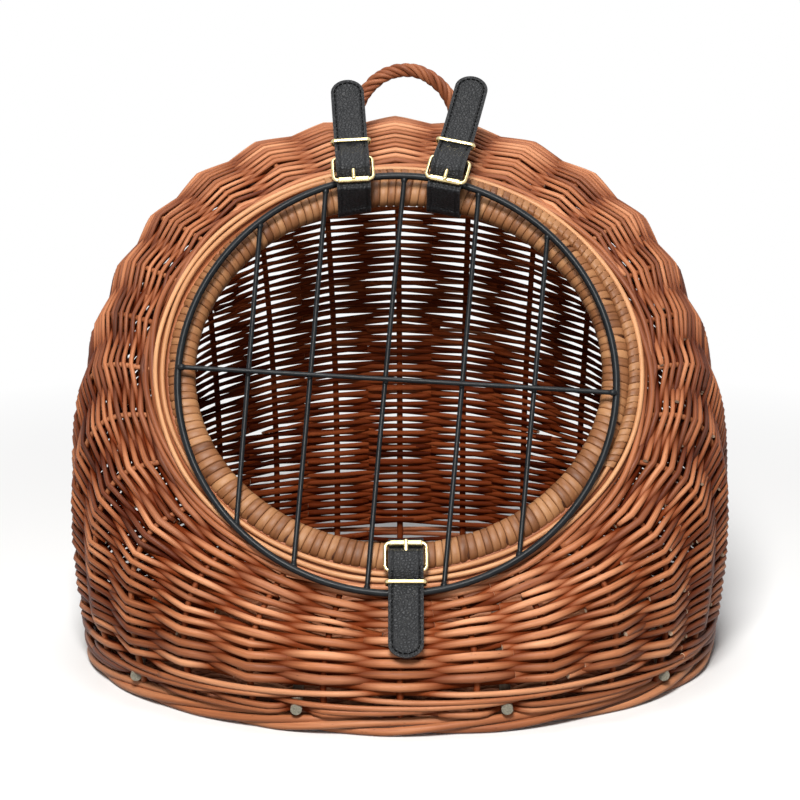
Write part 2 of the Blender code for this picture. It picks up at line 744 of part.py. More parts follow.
def strap_knots(inverse, side, angle, across, belt):
    """The middle line of one lengthwise line of a strap, from its hook on the buckle bar to the tail's tip."""
    half = STRAP_THICKNESS / 2
    bar_reach = BUCKLE_WIRE + 2 * GAP + half
    under_roller = ROLLER_RADIUS + SEAT_GAP + half
    inside = WALL + SCALLOP + 2 * ROW_RELIEF + half + LOOP_SLACK
    knots = []
    for degrees in HOOK_TURNS:
        turn = math.radians(degrees)
        knots.append(Vector((BUCKLE_LENGTH + bar_reach * math.cos(turn), bar_reach * math.sin(turn))))
    knots += [Vector(knot) for knot in belt["lower_knots"]]
    slot = belt["slot_place"]
    knots.append(from_skin(inverse, angle, across, slot, -2 * half))
    knots.append(from_skin(inverse, angle, across, slot, inside * SLOT_DEPTH_SHARE))
    middle = roll_middle(inverse, side, across)
    for share in INSIDE_PLACE_SHARES:
        place = middle.x + (slot - middle.x) * share
        knots.append(from_skin(inverse, angle, across, place, inside + LOOP_SLACK))
    for degrees in ROLL_TURNS:
        turn = math.radians(degrees)
        across_share, out_share = roll_shares(turn)
        knots.append(
            Vector(
                (
                    middle.x + (ROLL_HALF_WIDTH + half + LOOP_SLACK) * across_share,
                    middle.y + (ROLL_HALF_THICKNESS + half + LOOP_SLACK) * out_share,
                )
            )
        )
    knots += [
        Vector((-half - LEAD_BEND, -under_roller - LEAD_BEND)),
        Vector((-half - LEAD_BEND * (1 - LEAD_BEND_SHARE), -under_roller - LEAD_BEND * LEAD_BEND_SHARE)),
        Vector((-half, -under_roller)),
        Vector((ROLLER_RADIUS, -under_roller)),
        Vector((BUCKLE_LENGTH / 2, (TAIL_OVER_BAR - under_roller) / 2)),
        Vector((BUCKLE_LENGTH + PRONG_WIRE / 2, TAIL_OVER_BAR)),
        Vector((belt["keeper_place"] - STRAP_THICKNESS, UPPER_LAYER)),
        Vector((belt["keeper_place"], UPPER_LAYER)),
        Vector((belt["upper_end"], UPPER_LAYER)),
        Vector(((belt["upper_end"] + belt["tail"]) / 2, UPPER_LAYER + belt["tail_lift"] / 3)),
        Vector((belt["tail"], UPPER_LAYER + belt["tail_lift"])),
    ]
    return knots


def front_slope():
    """How far the front of the wall leans back, from its foot to the mouth."""
    front = -math.pi / 2
    climb = wall_skin(front, 1) - wall_skin(front, 0)
    return math.atan2(climb.y, climb.z)


def build_belt(belt, wall, leather, metal):
    """A belt through the wall and round the rolled rim and the door ring."""
    name, x, side = belt["name"], belt["x"], belt["side"]
    wide = MOUTH_HALF_WIDTH - ROLL_HALF_WIDTH + ROLL_LAP
    tall = MOUTH_HALF_HEIGHT - ROLL_HALF_WIDTH + ROLL_LAP
    roll_reach = tall * math.sqrt(1 - (x / wide) ** 2)
    ring = door_centre + side * door_up * ring_height(x - DOOR_SHIFT) - mouth_centre()
    ring_reach, ring_out = side * ring.dot(mouth_up), ring.dot(mouth_out)
    if side > 0:
        reach, out = ring_reach - ROLLER_BEFORE_RING, ring_out + BUCKLE_LIFT
        lean = HINGE_BELT_LEAN
    else:
        reach = roll_reach - ROLL_HALF_WIDTH / 2
        out = ring_out + DOOR_WIRE + SEAT_GAP + STRAP_THICKNESS / 2 - LOWER_LAYER
        lean = MOUTH_LEAN - front_slope() - LATCH_STAND_OFF
    spot = Vector((x, MOUTH_CENTRE_Y, MOUTH_CENTRE_Z)) + side * mouth_up * reach + mouth_out * out
    axis_along = side * mouth_up * math.cos(lean) - mouth_out * math.sin(lean)
    axis_out = side * mouth_up * math.sin(lean) + mouth_out * math.cos(lean)
    axis_along = Matrix.Rotation(belt["sideways"], 3, axis_out) @ axis_along
    matrix = frame_matrix(spot, axis_along.cross(axis_out).normalized(), axis_along, axis_out)
    frame = add_empty(f"{name}_frame", matrix)
    inverse = matrix.inverted()
    angle = side * math.acos(x / MOUTH_HALF_WIDTH)

    first, last = (knot * STRAP_STEPS for knot in PASSAGE_KNOTS)
    lines, passages = [], []
    for share in STRAP_LINE_SHARES:
        across = STRAP_WIDTH / 2 * share
        path = smooth_path(strap_knots(inverse, side, angle, across, belt), STRAP_STEPS)
        lines.append([Vector((across, p.x, p.y)) for p in path])
        wider = across + SLOT_CLEARANCE * share
        passages.append([Vector((wider, p.x, p.y)) for p in path[first:last]])
    strap = strip(f"{name}_strap", strap_rows(lines), leather, wrap=False, parent=frame)
    solidify(strap, STRAP_THICKNESS, 0)
    passage = strip(f"{name}_passage", [list(row) for row in zip(*passages)], leather, wrap=False, parent=frame)
    solidify(passage, STRAP_THICKNESS + 2 * SLOT_CLEARANCE, 0)
    cut(wall, as_cutter(passage))

    punch_size = (2 * HOLE_RADIUS, PRONG_SLOT, PUNCH_REACH)
    punch_place = (0, BUCKLE_LENGTH - PRONG_RISE_AT, UPPER_LAYER + STRAP_THICKNESS)
    cut(strap, box_cutter(f"{name}_prong_hole", punch_size, punch_place, frame))
    eye_reach = 2 * (BUCKLE_WIRE + 2 * PRONG_WIRE + 2 * EYE_PLAY)
    eye_size = (2 * HOLE_RADIUS, eye_reach, eye_reach)
    eye_place = (0, BUCKLE_LENGTH, LOWER_LAYER - STRAP_THICKNESS)
    cut(strap, box_cutter(f"{name}_eye_slot", eye_size, eye_place, frame))
    if belt["spare_hole"]:
        place = (0, belt["spare_hole"], UPPER_LAYER + STRAP_THICKNESS / 2)
        hole = cylinder(
            f"{name}_spare_hole", HOLE_RADIUS, HOLE_REACH, place, (0, 0, 1), leather, HOLE_SIDES, frame
        )
        cut(strap, as_cutter(hole))
    build_buckle(name, frame, belt, metal)


def strap_rows(lines):
    """Rows of points across the strap, narrowing to a round tip at the end of its lines."""
    middle = [(left + right) / 2 for left, right in zip(lines[1], lines[2])]
    lengths = [0.0]
    for before, after in zip(middle, middle[1:]):
        lengths.append(lengths[-1] + (after - before).length)
    kept = [index for index, length in enumerate(lengths) if lengths[-1] - length > TIP_ROUND]
    rows = [[line[index] for line in lines] for index in kept]
    start_length = lengths[kept[-1]]
    for step in range(1, TIP_STEPS + 1):
        share = math.sin(math.pi / 2 * step / TIP_STEPS) * TIP_SHARE
        left = (lengths[-1] - start_length) * (1 - share)
        round_off = 1 - min(left / TIP_ROUND, 1)
        narrow = math.sqrt(1 - round_off**2)
        centre = rows[len(kept) - 1][0].lerp(rows[len(kept) - 1][3], 0.5).lerp(middle[-1], share)
        half = STRAP_WIDTH / 2 * narrow
        rows.append([centre + X_AXIS * half * place for place in STRAP_LINE_SHARES])
    return rows


def box_cutter(name, size, place, parent):
    mesh = bpy.data.meshes.new(name)
    builder = bmesh.new()
    bmesh.ops.create_cube(builder, size=1)
    builder.to_mesh(mesh)
    builder.free()
    mesh.transform(Matrix.Diagonal((*size, 1)))
    item = bpy.data.objects.new(name, mesh)
    parts.objects.link(item)
    item.parent = parent
    item.location = place
    return as_cutter(item)


clear_scene()
parts = new_collection("wicker_pet_carrier")
cutters = new_collection("cutters")

willow = make_material("willow", (0.50, 0.22, 0.11), 0.55)
cane = make_material("rim_cane", (0.52, 0.25, 0.10), 0.4)
leather = make_material("black_leather", (0.014, 0.015, 0.018), 0.5)
gold = make_material("pale_gold", (0.85, 0.74, 0.45), 0.25, 1.0)
wire_paint = make_material("black_wire", (0.012, 0.014, 0.017), 0.4)
stick_wood = make_material("cut_stick", (0.30, 0.22, 0.16), 0.7)

basket_wall = build_wall(willow)
build_border(willow)
build_floor(willow)
build_sticks(basket_wall, stick_wood)
build_roll(basket_wall, cane)
build_edge_rods(cane)
build_handle(basket_wall, willow)
build_door(wire_paint)
for belt in BELTS:
    build_belt(belt, basket_wall, leather, gold)
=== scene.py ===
"""Looks of the woven pet carrier: willow rods, a cane rim, a wire door and three leather belts."""
import math
import random

import bpy
import numpy as np
from mathutils import Matrix, Vector


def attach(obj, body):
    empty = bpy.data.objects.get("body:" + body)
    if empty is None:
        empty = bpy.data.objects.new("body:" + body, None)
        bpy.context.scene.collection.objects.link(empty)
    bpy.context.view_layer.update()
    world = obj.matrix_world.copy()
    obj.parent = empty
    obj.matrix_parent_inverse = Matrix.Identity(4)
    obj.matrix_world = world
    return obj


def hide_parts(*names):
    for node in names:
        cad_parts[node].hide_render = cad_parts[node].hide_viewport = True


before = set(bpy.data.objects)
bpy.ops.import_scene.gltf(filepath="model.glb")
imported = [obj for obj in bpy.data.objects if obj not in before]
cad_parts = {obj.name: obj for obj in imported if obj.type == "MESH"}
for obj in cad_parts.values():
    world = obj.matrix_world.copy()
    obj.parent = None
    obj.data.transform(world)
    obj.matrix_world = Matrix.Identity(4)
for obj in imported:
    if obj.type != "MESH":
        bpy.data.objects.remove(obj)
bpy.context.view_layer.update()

chance = random.Random(7)

# Sizes repeated from the CAD part, in metres
FOOT_HALF_WIDTH, FOOT_HALF_DEPTH = 0.2335, 0.199
MOUTH_HALF_WIDTH, MOUTH_HALF_HEIGHT = 0.1605, 0.146
MOUTH_CENTRE_Y, MOUTH_CENTRE_Z = -0.065, 0.2245
MOUTH_LEAN = math.radians(34.8)
WALL, SCALLOP, ROW_RELIEF = 0.007, 0.004, 0.0012
STAKES = 28
CROWN_SHIFT = -0.0035
FOOT_REACH = (0.050, 0.251, 0.288)
FOOT_SLOPE = tuple(math.radians(a) for a in (67, 85, 95))
MOUTH_REACH = (0.029, 0.051, 0.192)
MOUTH_SLOPE = tuple(math.radians(a) for a in (3, -3, 21))
BORDER_RADIUS, BORDER_FLAT = 0.0068, 0.0005
STICK_RADIUS, STICK_PROUD = 0.004, 0.001
STICK_PLACE_SHARES = (-0.79, -0.30, 0.31, 0.79)
ROLL_HALF_WIDTH, ROLL_HALF_THICKNESS = 0.010, 0.0085
ROLL_SUNK, ROLL_LAP, ROLL_SQUARENESS = 0.0035, 0.002, 2.5
EDGE_ROD_RADIUS, EDGE_ROD_FIRST, EDGE_ROD_PITCH = 0.0018, 0.0052, 0.0047
HANDLE_SPAN, HANDLE_RISE = 0.078, 0.047
HANDLE_PLACE_Y, HANDLE_CENTRE_X, HANDLE_ROOT = 0.066, 0.004, 0.022
HANDLE_ROOT_SPREAD_SHARE = 0.25
DOOR_INSIDE_MOUTH, DOOR_OUTSIDE_MOUTH = 0.0079, 0.0085
DOOR_WIRE, DOOR_DROP, DOOR_SHIFT = 0.0025, 0.0125, -0.0013
DOOR_TILT, DOOR_STANDOFF = math.radians(1.35), 0.0120
BAR_WIRE, BAR_SET_BACK = 0.0017, 0.0010
BAR_PLACE_SHARES = (-0.679, -0.398, -0.050, 0.296, 0.625)
BAR_LEANS = tuple(math.radians(a) for a in (3.2, 4.0, 4.8, 5.2, 5.7))
CROSS_BAR_RISE, CROSS_BAR_LEAN = -0.0016, math.radians(3.6)
STRAP_WIDTH, STRAP_THICKNESS = 0.0240, 0.0020
BUCKLE_WIRE, BUCKLE_LENGTH, BUCKLE_CORNER = 0.0014, 0.019, 0.0030
ROLLER_RADIUS, PRONG_WIRE, KEEPER_WIRE = 0.0023, 0.0009, 0.0010
HOLE_RADIUS, PRONG_RISE_AT, PRONG_PAST = 0.0015, 0.0042, 0.0014
EYE_PLAY, KEEPER_PLAY, BUCKLE_SIDE_ROOM = 0.0003, 0.0005, 0.0006
TIP_ROUND = 0.010
LOWER_LAYER, UPPER_LAYER, TAIL_OVER_BAR = -0.0017, 0.0010, 0.0052
LEAD_BEND, LEAD_BEND_SHARE = 0.0030, 0.3
BELT_OFFSET, BELTS_CENTRE_X = 0.0323, -0.0005
ROLLER_BEFORE_RING, BUCKLE_LIFT = 0.0054, 0.0123
INSIDE_PLACE_SHARES = (0.86, 0.5)
ROLL_TURNS = (260, 240, 220, 200, 180, 160)
HOOK_TURNS = (215, 245, 272)
GAP, SEAT_GAP, LOOP_SLACK = 0.0003, 0.0004, 0.0008
HINGE_BELT = {
    "side": 1, "lean": math.radians(12), "lower_knots": ((0.0215, -0.0040), (0.0240, -0.0080)),
    "slot_place": 0.030, "keeper_place": 0.033, "keeper_holds_both": False,
    "upper_end": 0.048, "tail": 0.091, "tail_lift": 0.006, "spare_hole": 0.0285,
}
LATCH_BELT = {
    "name": "latch_belt", "x": 0.004, "side": -1, "lean": 0, "sideways": 0,
    "lower_knots": ((0.025, LOWER_LAYER), (0.036, LOWER_LAYER), (0.043, LOWER_LAYER)),
    "slot_place": 0.055, "keeper_place": 0.0280, "keeper_holds_both": True,
    "upper_end": 0.036, "tail": 0.082, "tail_lift": 0.0045, "spare_hole": 0,
}
# The left belt's tail is 6 mm shorter than in the CAD part, as the photograph shows it
LEFT_BELT = {
    **HINGE_BELT, "name": "left_belt", "x": BELTS_CENTRE_X - BELT_OFFSET, "sideways": math.radians(4),
    "tail": 0.085,
}
RIGHT_BELT = {
    **HINGE_BELT, "name": "right_belt", "x": BELTS_CENTRE_X + BELT_OFFSET, "sideways": math.radians(-14),
}
BELTS = (LEFT_BELT, RIGHT_BELT, LATCH_BELT)

# Sizes of the weave that only the looks have; three values are for the front, the sides and the back
STAKE_STEPS, STAKE_HALF = 8, 0.0022
STAKE_FOOT_GAP, STAKE_TOP_GAP = 0.002, 0.003
ROD_PITCH = (0.0043, 0.0029, 0.0031)
ROD_FILL = (1.26, 1.08, 1.08)
ROD_FLAT, LOWER_FILL, CROWN_FILL = 0.88, 0.3, 0.16
ROD_WANDER, ROD_WAVER, ROD_TUCK = 0.13, 0.0002, 0.0028
# Painted shade at the wall's sides and painted light at its front, put into the rods' tone
SIDE_PAINTED_SHADE, FRONT_PAINTED_LIGHT = 0.5, 0.25
DARK_ROD_SHARE, CHORD_SHARE, WAVE_SHARPNESS = 0.10, 0.8, 0.985
WEAVE_LOW, WEAVE_HIGH = 0.0262, 0.0190
INSERT_SPREAD, INSERT_FIRST, GOLDEN_SHARE, LIVE_SHARE = 3.0, 0.31, 0.618034, 0.35
WALE_LOW, WALE_PITCH, WALE_ROWS, WALE_HALF, WALE_STAKES = 0.0040, 0.0043, 5, 0.0022, 4
WALE_SUNK, WALE_DIP, WALE_SLANT, WALE_WAVER = 0.0006, 0.0075, 0.0009, 0.0003
STICK_WAKE = 0.011
ROPE_STRANDS, ROPE_PLACE, ROPE_HALF, ROPE_TURNS = 3, 0.0155, 0.0021, 5
ROPE_DEPTH, ROPE_HALF_WIDTH, ROPE_HALF_HEIGHT = 0.0032, 0.0031, 0.0021
UNDERLAY_PLACES, UNDERLAY_HALF = (0.0012, 0.0060, 0.0107), 0.0026
BORDER_STRANDS, BORDER_TURNS, BORDER_TWIST, BORDER_STRAND_HALF = 3, 6, (0.0034, 0.0036), 0.0031
FLOOR_RIBS, FLOOR_RIB_HALF, FLOOR_ROD_HALF, FLOOR_ROD_PITCH = 13, 0.0020, 0.0023, 0.0050
WRAP_PITCH, WRAP_TURN_STEPS, WRAP_WAVER, WRAP_DIP = 0.0057, 28, 0.00035, 0.0022
WRAP_PROFILE = (
    (-0.50, -0.0011), (-0.47, -0.0003), (-0.36, 0.0), (0, 0.0), (0.36, 0.0), (0.47, -0.0003), (0.50, -0.0011),
)
EDGE_WRAP_SPAN, EDGE_WRAP_PLACE, EDGE_WRAP_LIFT, EDGE_WRAP_HALF = (-30, 108), 0.0046, 0.0012, 0.0044
HANDLE_STRANDS, HANDLE_TURNS, HANDLE_STRAND_HALF, HANDLE_TWIST = 5, 5.2, 0.00188, 0.0033
WELD_HALF_LENGTH, WELD_HALF = 0.0030, 0.0021
BAR_END_HALF_LENGTH, BAR_END_SET_IN, BAR_END_FULLNESS, BAR_BOW = 0.0034, 0.0012, 1.42, 0.0005
STITCH_PITCH, STITCH_LENGTH, STITCH_HALF, STITCH_INSET, STITCH_RISE = 0.0036, 0.0024, 0.0004, 0.0026, 0.00022
STRAP_CORNER, STRAP_EDGE_RANGE = 0.00055, 0.012
STRAP_EDGE_STEPS = (0, 0.00012, 0.0004, 0.0009, 0.0022, 0.0026, 0.0030, 0.0048, 0.0084)
STRAP_LINE_SHARES = np.array((-1, -1 / 3, 1 / 3, 1))
WIRE_STEP = 0.0015

# How grain and depth are written to a mesh for the materials
GRAIN_SHIFT, GRAIN_REACH, DEPTH_SCALE = 7.3, 0.004, 100

mouth_up = np.array((0, math.sin(MOUTH_LEAN), math.cos(MOUTH_LEAN)))
mouth_out = np.array((0, -math.cos(MOUTH_LEAN), math.sin(MOUTH_LEAN)))
x_axis, z_axis = np.array((1.0, 0, 0)), np.array((0, 0, 1.0))
border_top = 2 * BORDER_RADIUS - BORDER_FLAT
wall_foot_z = border_top + GAP
crown_height = MOUTH_CENTRE_Z + MOUTH_HALF_HEIGHT


def unit(vectors):
    return vectors / np.linalg.norm(vectors, axis=-1, keepdims=True)


def ease(share):
    share = np.clip(share, 0, 1)
    return share * share * (3 - 2 * share)


def circle(count):
    return 2 * np.pi * np.arange(count) / count


def points_at(x, y, z):
    return np.stack(np.broadcast_arrays(x, y, z), -1)


def run_length(path):
    """How far along the path each of its points lies."""
    steps = np.linalg.norm(np.diff(path, axis=0), axis=1)
    return np.concatenate(([0], np.cumsum(steps)))


def smooth_mesh(name, points, faces, grain, **shades):
    """A smooth mesh whose points carry their grain, and further values under the names given."""
    mesh = bpy.data.meshes.new(name)
    mesh.from_pydata(np.concatenate(points).tolist(), [], faces)
    mesh.shade_smooth()
    written = mesh.attributes.new("grain", "FLOAT_VECTOR", "POINT")
    written.data.foreach_set("vector", np.concatenate(grain).astype(np.float32).ravel())
    for shade, values in shades.items():
        written = mesh.attributes.new(shade, "FLOAT", "POINT")
        written.data.foreach_set("value", np.concatenate(values).astype(np.float32))
    return mesh


class Rods:
    """Many tubes gathered into one mesh, each with its own tone and grain that runs along it."""

    def __init__(self, name, sides):
        self.name, self.sides, self.count = name, sides, 0
        self.points, self.grain, self.tones, self.depths, self.faces, self.cuts = [], [], [], [], [], []

    def add(self, path, radius, up=None, flat=1.0, tone=None, closed=False, depth=0.0, brown=0.0):
        """Add one tube; its depth is how far its middle lies below the wall's skin, and brown lowers its tone
        to paint shade, while a negative value raises it to paint light.
        """
        path = np.asarray(path, float)
        count = len(path)
        tone = chance.random() if tone is None else tone
        radius = np.broadcast_to(np.asarray(radius, float), (count,))
        if closed:
            ahead = np.roll(path, -1, 0) - np.roll(path, 1, 0)
        else:
            ahead = np.gradient(path, axis=0)
        tangent = unit(ahead)
        if up is None:
            up = self.carried(tangent)
        else:
            up = np.broadcast_to(np.asarray(up, float), (count, 3))
        side = unit(np.cross(tangent, up))
        up = np.cross(side, tangent)
        cosine, sine = np.cos(circle(self.sides)), np.sin(circle(self.sides))
        across = radius[:, None, None] * side[:, None] * cosine[None, :, None]
        out = radius[:, None, None] * flat * up[:, None] * sine[None, :, None]
        self.points.append((path[:, None] + across + out).reshape(-1, 3))
        shift = tone * GRAIN_SHIFT
        along = run_length(path)[:, None] + shift
        grain = points_at(along, cosine[None] * GRAIN_REACH + shift, sine[None] * GRAIN_REACH)
        self.grain.append(grain.reshape(-1, 3))
        # The tone with painted shade taken off at the sides and painted light added at the front
        self.tones.append(np.repeat(tone - np.broadcast_to(brown, (count,)), self.sides))
        sunk = np.broadcast_to(depth, (count,))[:, None] - (radius * flat)[:, None] * sine
        self.depths.append(sunk.ravel())
        index = self.count + np.arange(count * self.sides).reshape(count, self.sides)
        after = np.roll(index, -1, 0) if closed else index[1:]
        here = index if closed else index[:-1]
        quads = np.stack((here, np.roll(here, -1, 1), np.roll(after, -1, 1), after), -1).reshape(-1, 4)
        self.faces += quads.tolist()
        self.cuts += [0] * len(quads)
        if not closed:
            self.faces += [index[0][::-1].tolist(), index[-1].tolist()]
            self.cuts += [1, 1]
        self.count += count * self.sides

    @staticmethod
    def carried(tangent):
        """A normal carried along the path without turning about it."""
        first = np.cross(tangent[0], z_axis)
        if np.linalg.norm(first) < 0.1:
            first = np.cross(tangent[0], x_axis)
        ups = [unit(first)]
        for direction in tangent[1:]:
            up = ups[-1] - direction * (ups[-1] @ direction)
            ups.append(unit(up))
        return np.array(ups)

    def build(self, material, body, slot, replaces=(), cut_material=None):
        depths = [DEPTH_SCALE * depth for depth in self.depths]
        mesh = smooth_mesh(self.name, self.points, self.faces, self.grain, tone=self.tones, depth=depths)
        mesh.materials.append(material)
        if cut_material:
            mesh.materials.append(cut_material)
            mesh.polygons.foreach_set("material_index", np.array(self.cuts, np.int32))
        mesh.polygons.foreach_set("use_smooth", np.array([not cut for cut in self.cuts], bool))
        placed(self.name, mesh, body, replaces)


def placed(name, mesh, body, replaces=()):
    item = bpy.data.objects.new(name, mesh)
    bpy.context.scene.collection.objects.link(item)
    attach(item, body)
    if replaces:
        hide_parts(*replaces)
    return item


# The wall's pot surface, as in the CAD part, for arrays of angles and rises
def three_way(values, depth):
    front, side, back = values
    return side + (back - front) / 2 * depth + ((back + front) / 2 - side) * depth**2


def sideways(points):
    share = points[..., 2] / crown_height
    moved = points.copy()
    moved[..., 0] += CROWN_SHIFT * share**2 * np.abs(share)
    return moved


def mouth_centre():
    return sideways(np.array((0, MOUTH_CENTRE_Y, MOUTH_CENTRE_Z)))


def wall_skin(angle, rise):
    across, depth = np.cos(angle)[..., None], np.sin(angle)[..., None]
    rise = np.asarray(rise)[..., None]
    foot = across * x_axis * FOOT_HALF_WIDTH + depth * np.array((0, FOOT_HALF_DEPTH, 0))
    foot = foot + z_axis * (wall_foot_z - WALL / 2)
    outward = across * x_axis + depth * np.array((0, 1, 0))
    foot_slope, mouth_slope = three_way(FOOT_SLOPE, depth), three_way(MOUTH_SLOPE, depth)
    centre = np.array((0, MOUTH_CENTRE_Y, MOUTH_CENTRE_Z))
    mouth = centre + across * x_axis * MOUTH_HALF_WIDTH + depth * mouth_up * MOUTH_HALF_HEIGHT
    away = across * x_axis + depth * mouth_up
    foot_way = outward * np.cos(foot_slope) + z_axis * np.sin(foot_slope)
    mouth_way = away * np.cos(mouth_slope) - mouth_out * np.sin(mouth_slope)
    foot_pull = foot + three_way(FOOT_REACH, depth) * foot_way
    mouth_pull = mouth + three_way(MOUTH_REACH, depth) * mouth_way
    fall = 1 - rise
    points = fall**3 * foot + 3 * fall**2 * rise * foot_pull
    points = points + 3 * fall * rise**2 * mouth_pull + rise**3 * mouth
    return sideways(points)


def wall_frame(angle, rise):
    step = 0.002
    climb = wall_skin(angle, np.minimum(rise + step, 1)) - wall_skin(angle, np.maximum(rise - step, 0))
    along = wall_skin(angle + step, rise) - wall_skin(angle - step, rise)
    return wall_skin(angle, rise), unit(np.cross(along, climb)), unit(climb)


class Surface:
    """The wall's skin sampled evenly along each stake's length, starting at the front."""

    def __init__(self, columns, steps=300):
        self.columns, self.steps = columns, steps
        self.angle = circle(columns) - np.pi / 2
        rise = np.linspace(0, 1, 400)
        dense = wall_skin(self.angle[:, None], np.broadcast_to(rise, (columns, len(rise))))
        step = np.linalg.norm(np.diff(dense, axis=1), axis=2)
        length = np.concatenate((np.zeros((columns, 1)), np.cumsum(step, axis=1)), axis=1)
        self.length = length[:, -1]
        even = np.linspace(0, 1, steps + 1)
        rises = np.array([np.interp(even * length[i, -1], length[i], rise) for i in range(columns)])
        angles = np.broadcast_to(self.angle[:, None], rises.shape)
        self.points, self.normals, self.climbs = wall_frame(angles, rises)

    def at(self, column, distance):
        """Points, normals and climbing directions at distances from the foot, one for each column given."""
        place = np.clip(distance / self.length[column], 0, 1) * self.steps
        low = np.minimum(place.astype(int), self.steps - 1)
        share = (place - low)[:, None]
        known = (self.points, self.normals, self.climbs)
        return [values[column, low] * (1 - share) + values[column, low + 1] * share for values in known]


# Scales of the grain along a rod and across it, and how much each pattern counts in its tone
STREAK_SCALE, PATCH_SCALE = (22, 420, 420), (14, 40, 40)
FINE_SCALE, SPECK_SCALE = (160, 1500, 1500), (90, 260, 260)
TONE_SHARE, TONE_BASE, STREAK_SHARE, PATCH_SHARE = 0.42, 0.02, 0.42, 0.34
# Painted shade deep in the weave: a darker colour and less reflection where the gaps lie in shade
SPECK_DARKNESS, DEEP_PAINTED_SHADE = 0.35, (0.34, 0.17, 0.10)
ROD_SPECULAR, DEEP_SHADE_SPECULAR_LOSS = 0.25, 0.22


# Materials
class Look:
    """A material and the few node shortcuts that the looks below are written with."""

    def __init__(self, name, roughness=0.5, metallic=0.0):
        self.material = bpy.data.materials.new(name)
        self.material.use_nodes = True
        self.nodes, self.links = self.material.node_tree.nodes, self.material.node_tree.links
        self.shader = self.nodes["Principled BSDF"]
        self.shader.inputs["Roughness"].default_value = roughness
        self.shader.inputs["Metallic"].default_value = metallic

    def set(self, **values):
        for name, value in values.items():
            self.shader.inputs[name.replace("_", " ")].default_value = value

    def node(self, kind, **settings):
        made = self.nodes.new(kind)
        for key, value in settings.items():
            setattr(made, key, value)
        return made

    def join(self, output, target):
        self.links.new(output, target)

    def into(self, output, name):
        """Join to an input of the material's own shader."""
        self.join(output, self.shader.inputs[name])

    def position(self):
        return self.node("ShaderNodeTexCoord").outputs["Object"]

    def attribute(self, name, output):
        return self.node("ShaderNodeAttribute", attribute_name=name).outputs[output]

    def scaled(self, vector, scale):
        mapping = self.node("ShaderNodeMapping")
        mapping.inputs["Scale"].default_value = scale
        self.join(vector, mapping.inputs["Vector"])
        return mapping.outputs["Vector"]

    def noise(self, vector, scale, detail=3.0):
        made = self.node("ShaderNodeTexNoise")
        made.inputs["Scale"].default_value = 1.0
        made.inputs["Detail"].default_value = detail
        made.inputs["Roughness"].default_value = 0.55
        self.join(self.scaled(vector, scale), made.inputs["Vector"])
        return made.outputs["Fac"]

    def cells(self, vector, **settings):
        made = self.node("ShaderNodeTexVoronoi", **settings)
        made.inputs["Scale"].default_value = 1.0
        self.join(vector, made.inputs["Vector"])
        return made.outputs["Distance"]

    def math(self, operation, *values):
        made = self.node("ShaderNodeMath", operation=operation)
        for socket, value in zip(made.inputs, values):
            if isinstance(value, (int, float)):
                socket.default_value = value
            else:
                self.join(value, socket)
        return made.outputs["Value"]

    def ramp(self, value, *stops):
        """Colours from places on a scale of 0 to 1; one number stands for a grey."""
        made = self.node("ShaderNodeValToRGB")
        elements = made.color_ramp.elements
        while len(elements) < len(stops):
            elements.new(0.5)
        for element, (place, colour) in zip(elements, stops):
            shades = colour if isinstance(colour, tuple) else (colour,) * 3
            element.position = place
            element.color = (*shades, 1)
        self.join(value, made.inputs["Fac"])
        return made.outputs["Color"]

    def mix(self, share, first, second, blend="MIX"):
        made = self.node("ShaderNodeMix", data_type="RGBA", blend_type=blend)
        sockets = (made.inputs["Factor"], made.inputs[6], made.inputs[7])
        for socket, value in zip(sockets, (share, first, second)):
            if isinstance(value, (int, float)):
                socket.default_value = value
            elif isinstance(value, tuple):
                socket.default_value = (*value, 1)
            else:
                self.join(value, socket)
        return made.outputs[2]

    def bump(self, height, strength, distance):
        made = self.node("ShaderNodeBump")
        made.inputs["Strength"].default_value = strength
        made.inputs["Distance"].default_value = distance
        self.join(height, made.inputs["Height"])
        self.into(made.outputs["Normal"], "Normal")


def rod_look(name, dark, middle, light, roughness, speck=0.6):
    """Peeled willow or cane: streaks, dark specks and a tone for each rod, with painted shade and less
    reflection deep in the weave.
    """
    look = Look(name, roughness)
    grain, tone = look.attribute("grain", "Vector"), look.attribute("tone", "Fac")
    streak = look.noise(grain, STREAK_SCALE, 4.0)
    patch = look.noise(grain, PATCH_SCALE, 2.0)
    fine = look.noise(grain, FINE_SCALE, 2.0)
    value = look.math("MULTIPLY_ADD", tone, TONE_SHARE, TONE_BASE)
    value = look.math("MULTIPLY_ADD", streak, STREAK_SHARE, value)
    value = look.math("MULTIPLY_ADD", patch, PATCH_SHARE, value)
    colour = look.ramp(value, (0.28, dark), (0.56, middle), (0.86, light))
    spot = look.ramp(look.cells(look.scaled(grain, SPECK_SCALE)), (0.05, 1), (0.11, 0))
    speck_colour = tuple(SPECK_DARKNESS * part for part in dark)
    colour = look.mix(look.math("MULTIPLY", spot, speck), colour, speck_colour)
    # Painted shade: rods darken and lose their reflection the deeper they lie below the wall's skin
    crevice_shade = look.ramp(look.attribute("depth", "Fac"), (0.15, 0), (0.52, 1))
    colour = look.mix(crevice_shade, colour, look.mix(1.0, colour, DEEP_PAINTED_SHADE, "MULTIPLY"))
    look.into(colour, "Base Color")
    look.into(look.math("MULTIPLY_ADD", crevice_shade, -DEEP_SHADE_SPECULAR_LOSS, ROD_SPECULAR), "Specular IOR Level")
    look.bump(look.math("MULTIPLY_ADD", fine, 0.5, streak), 0.35, 0.0006)
    return look.material


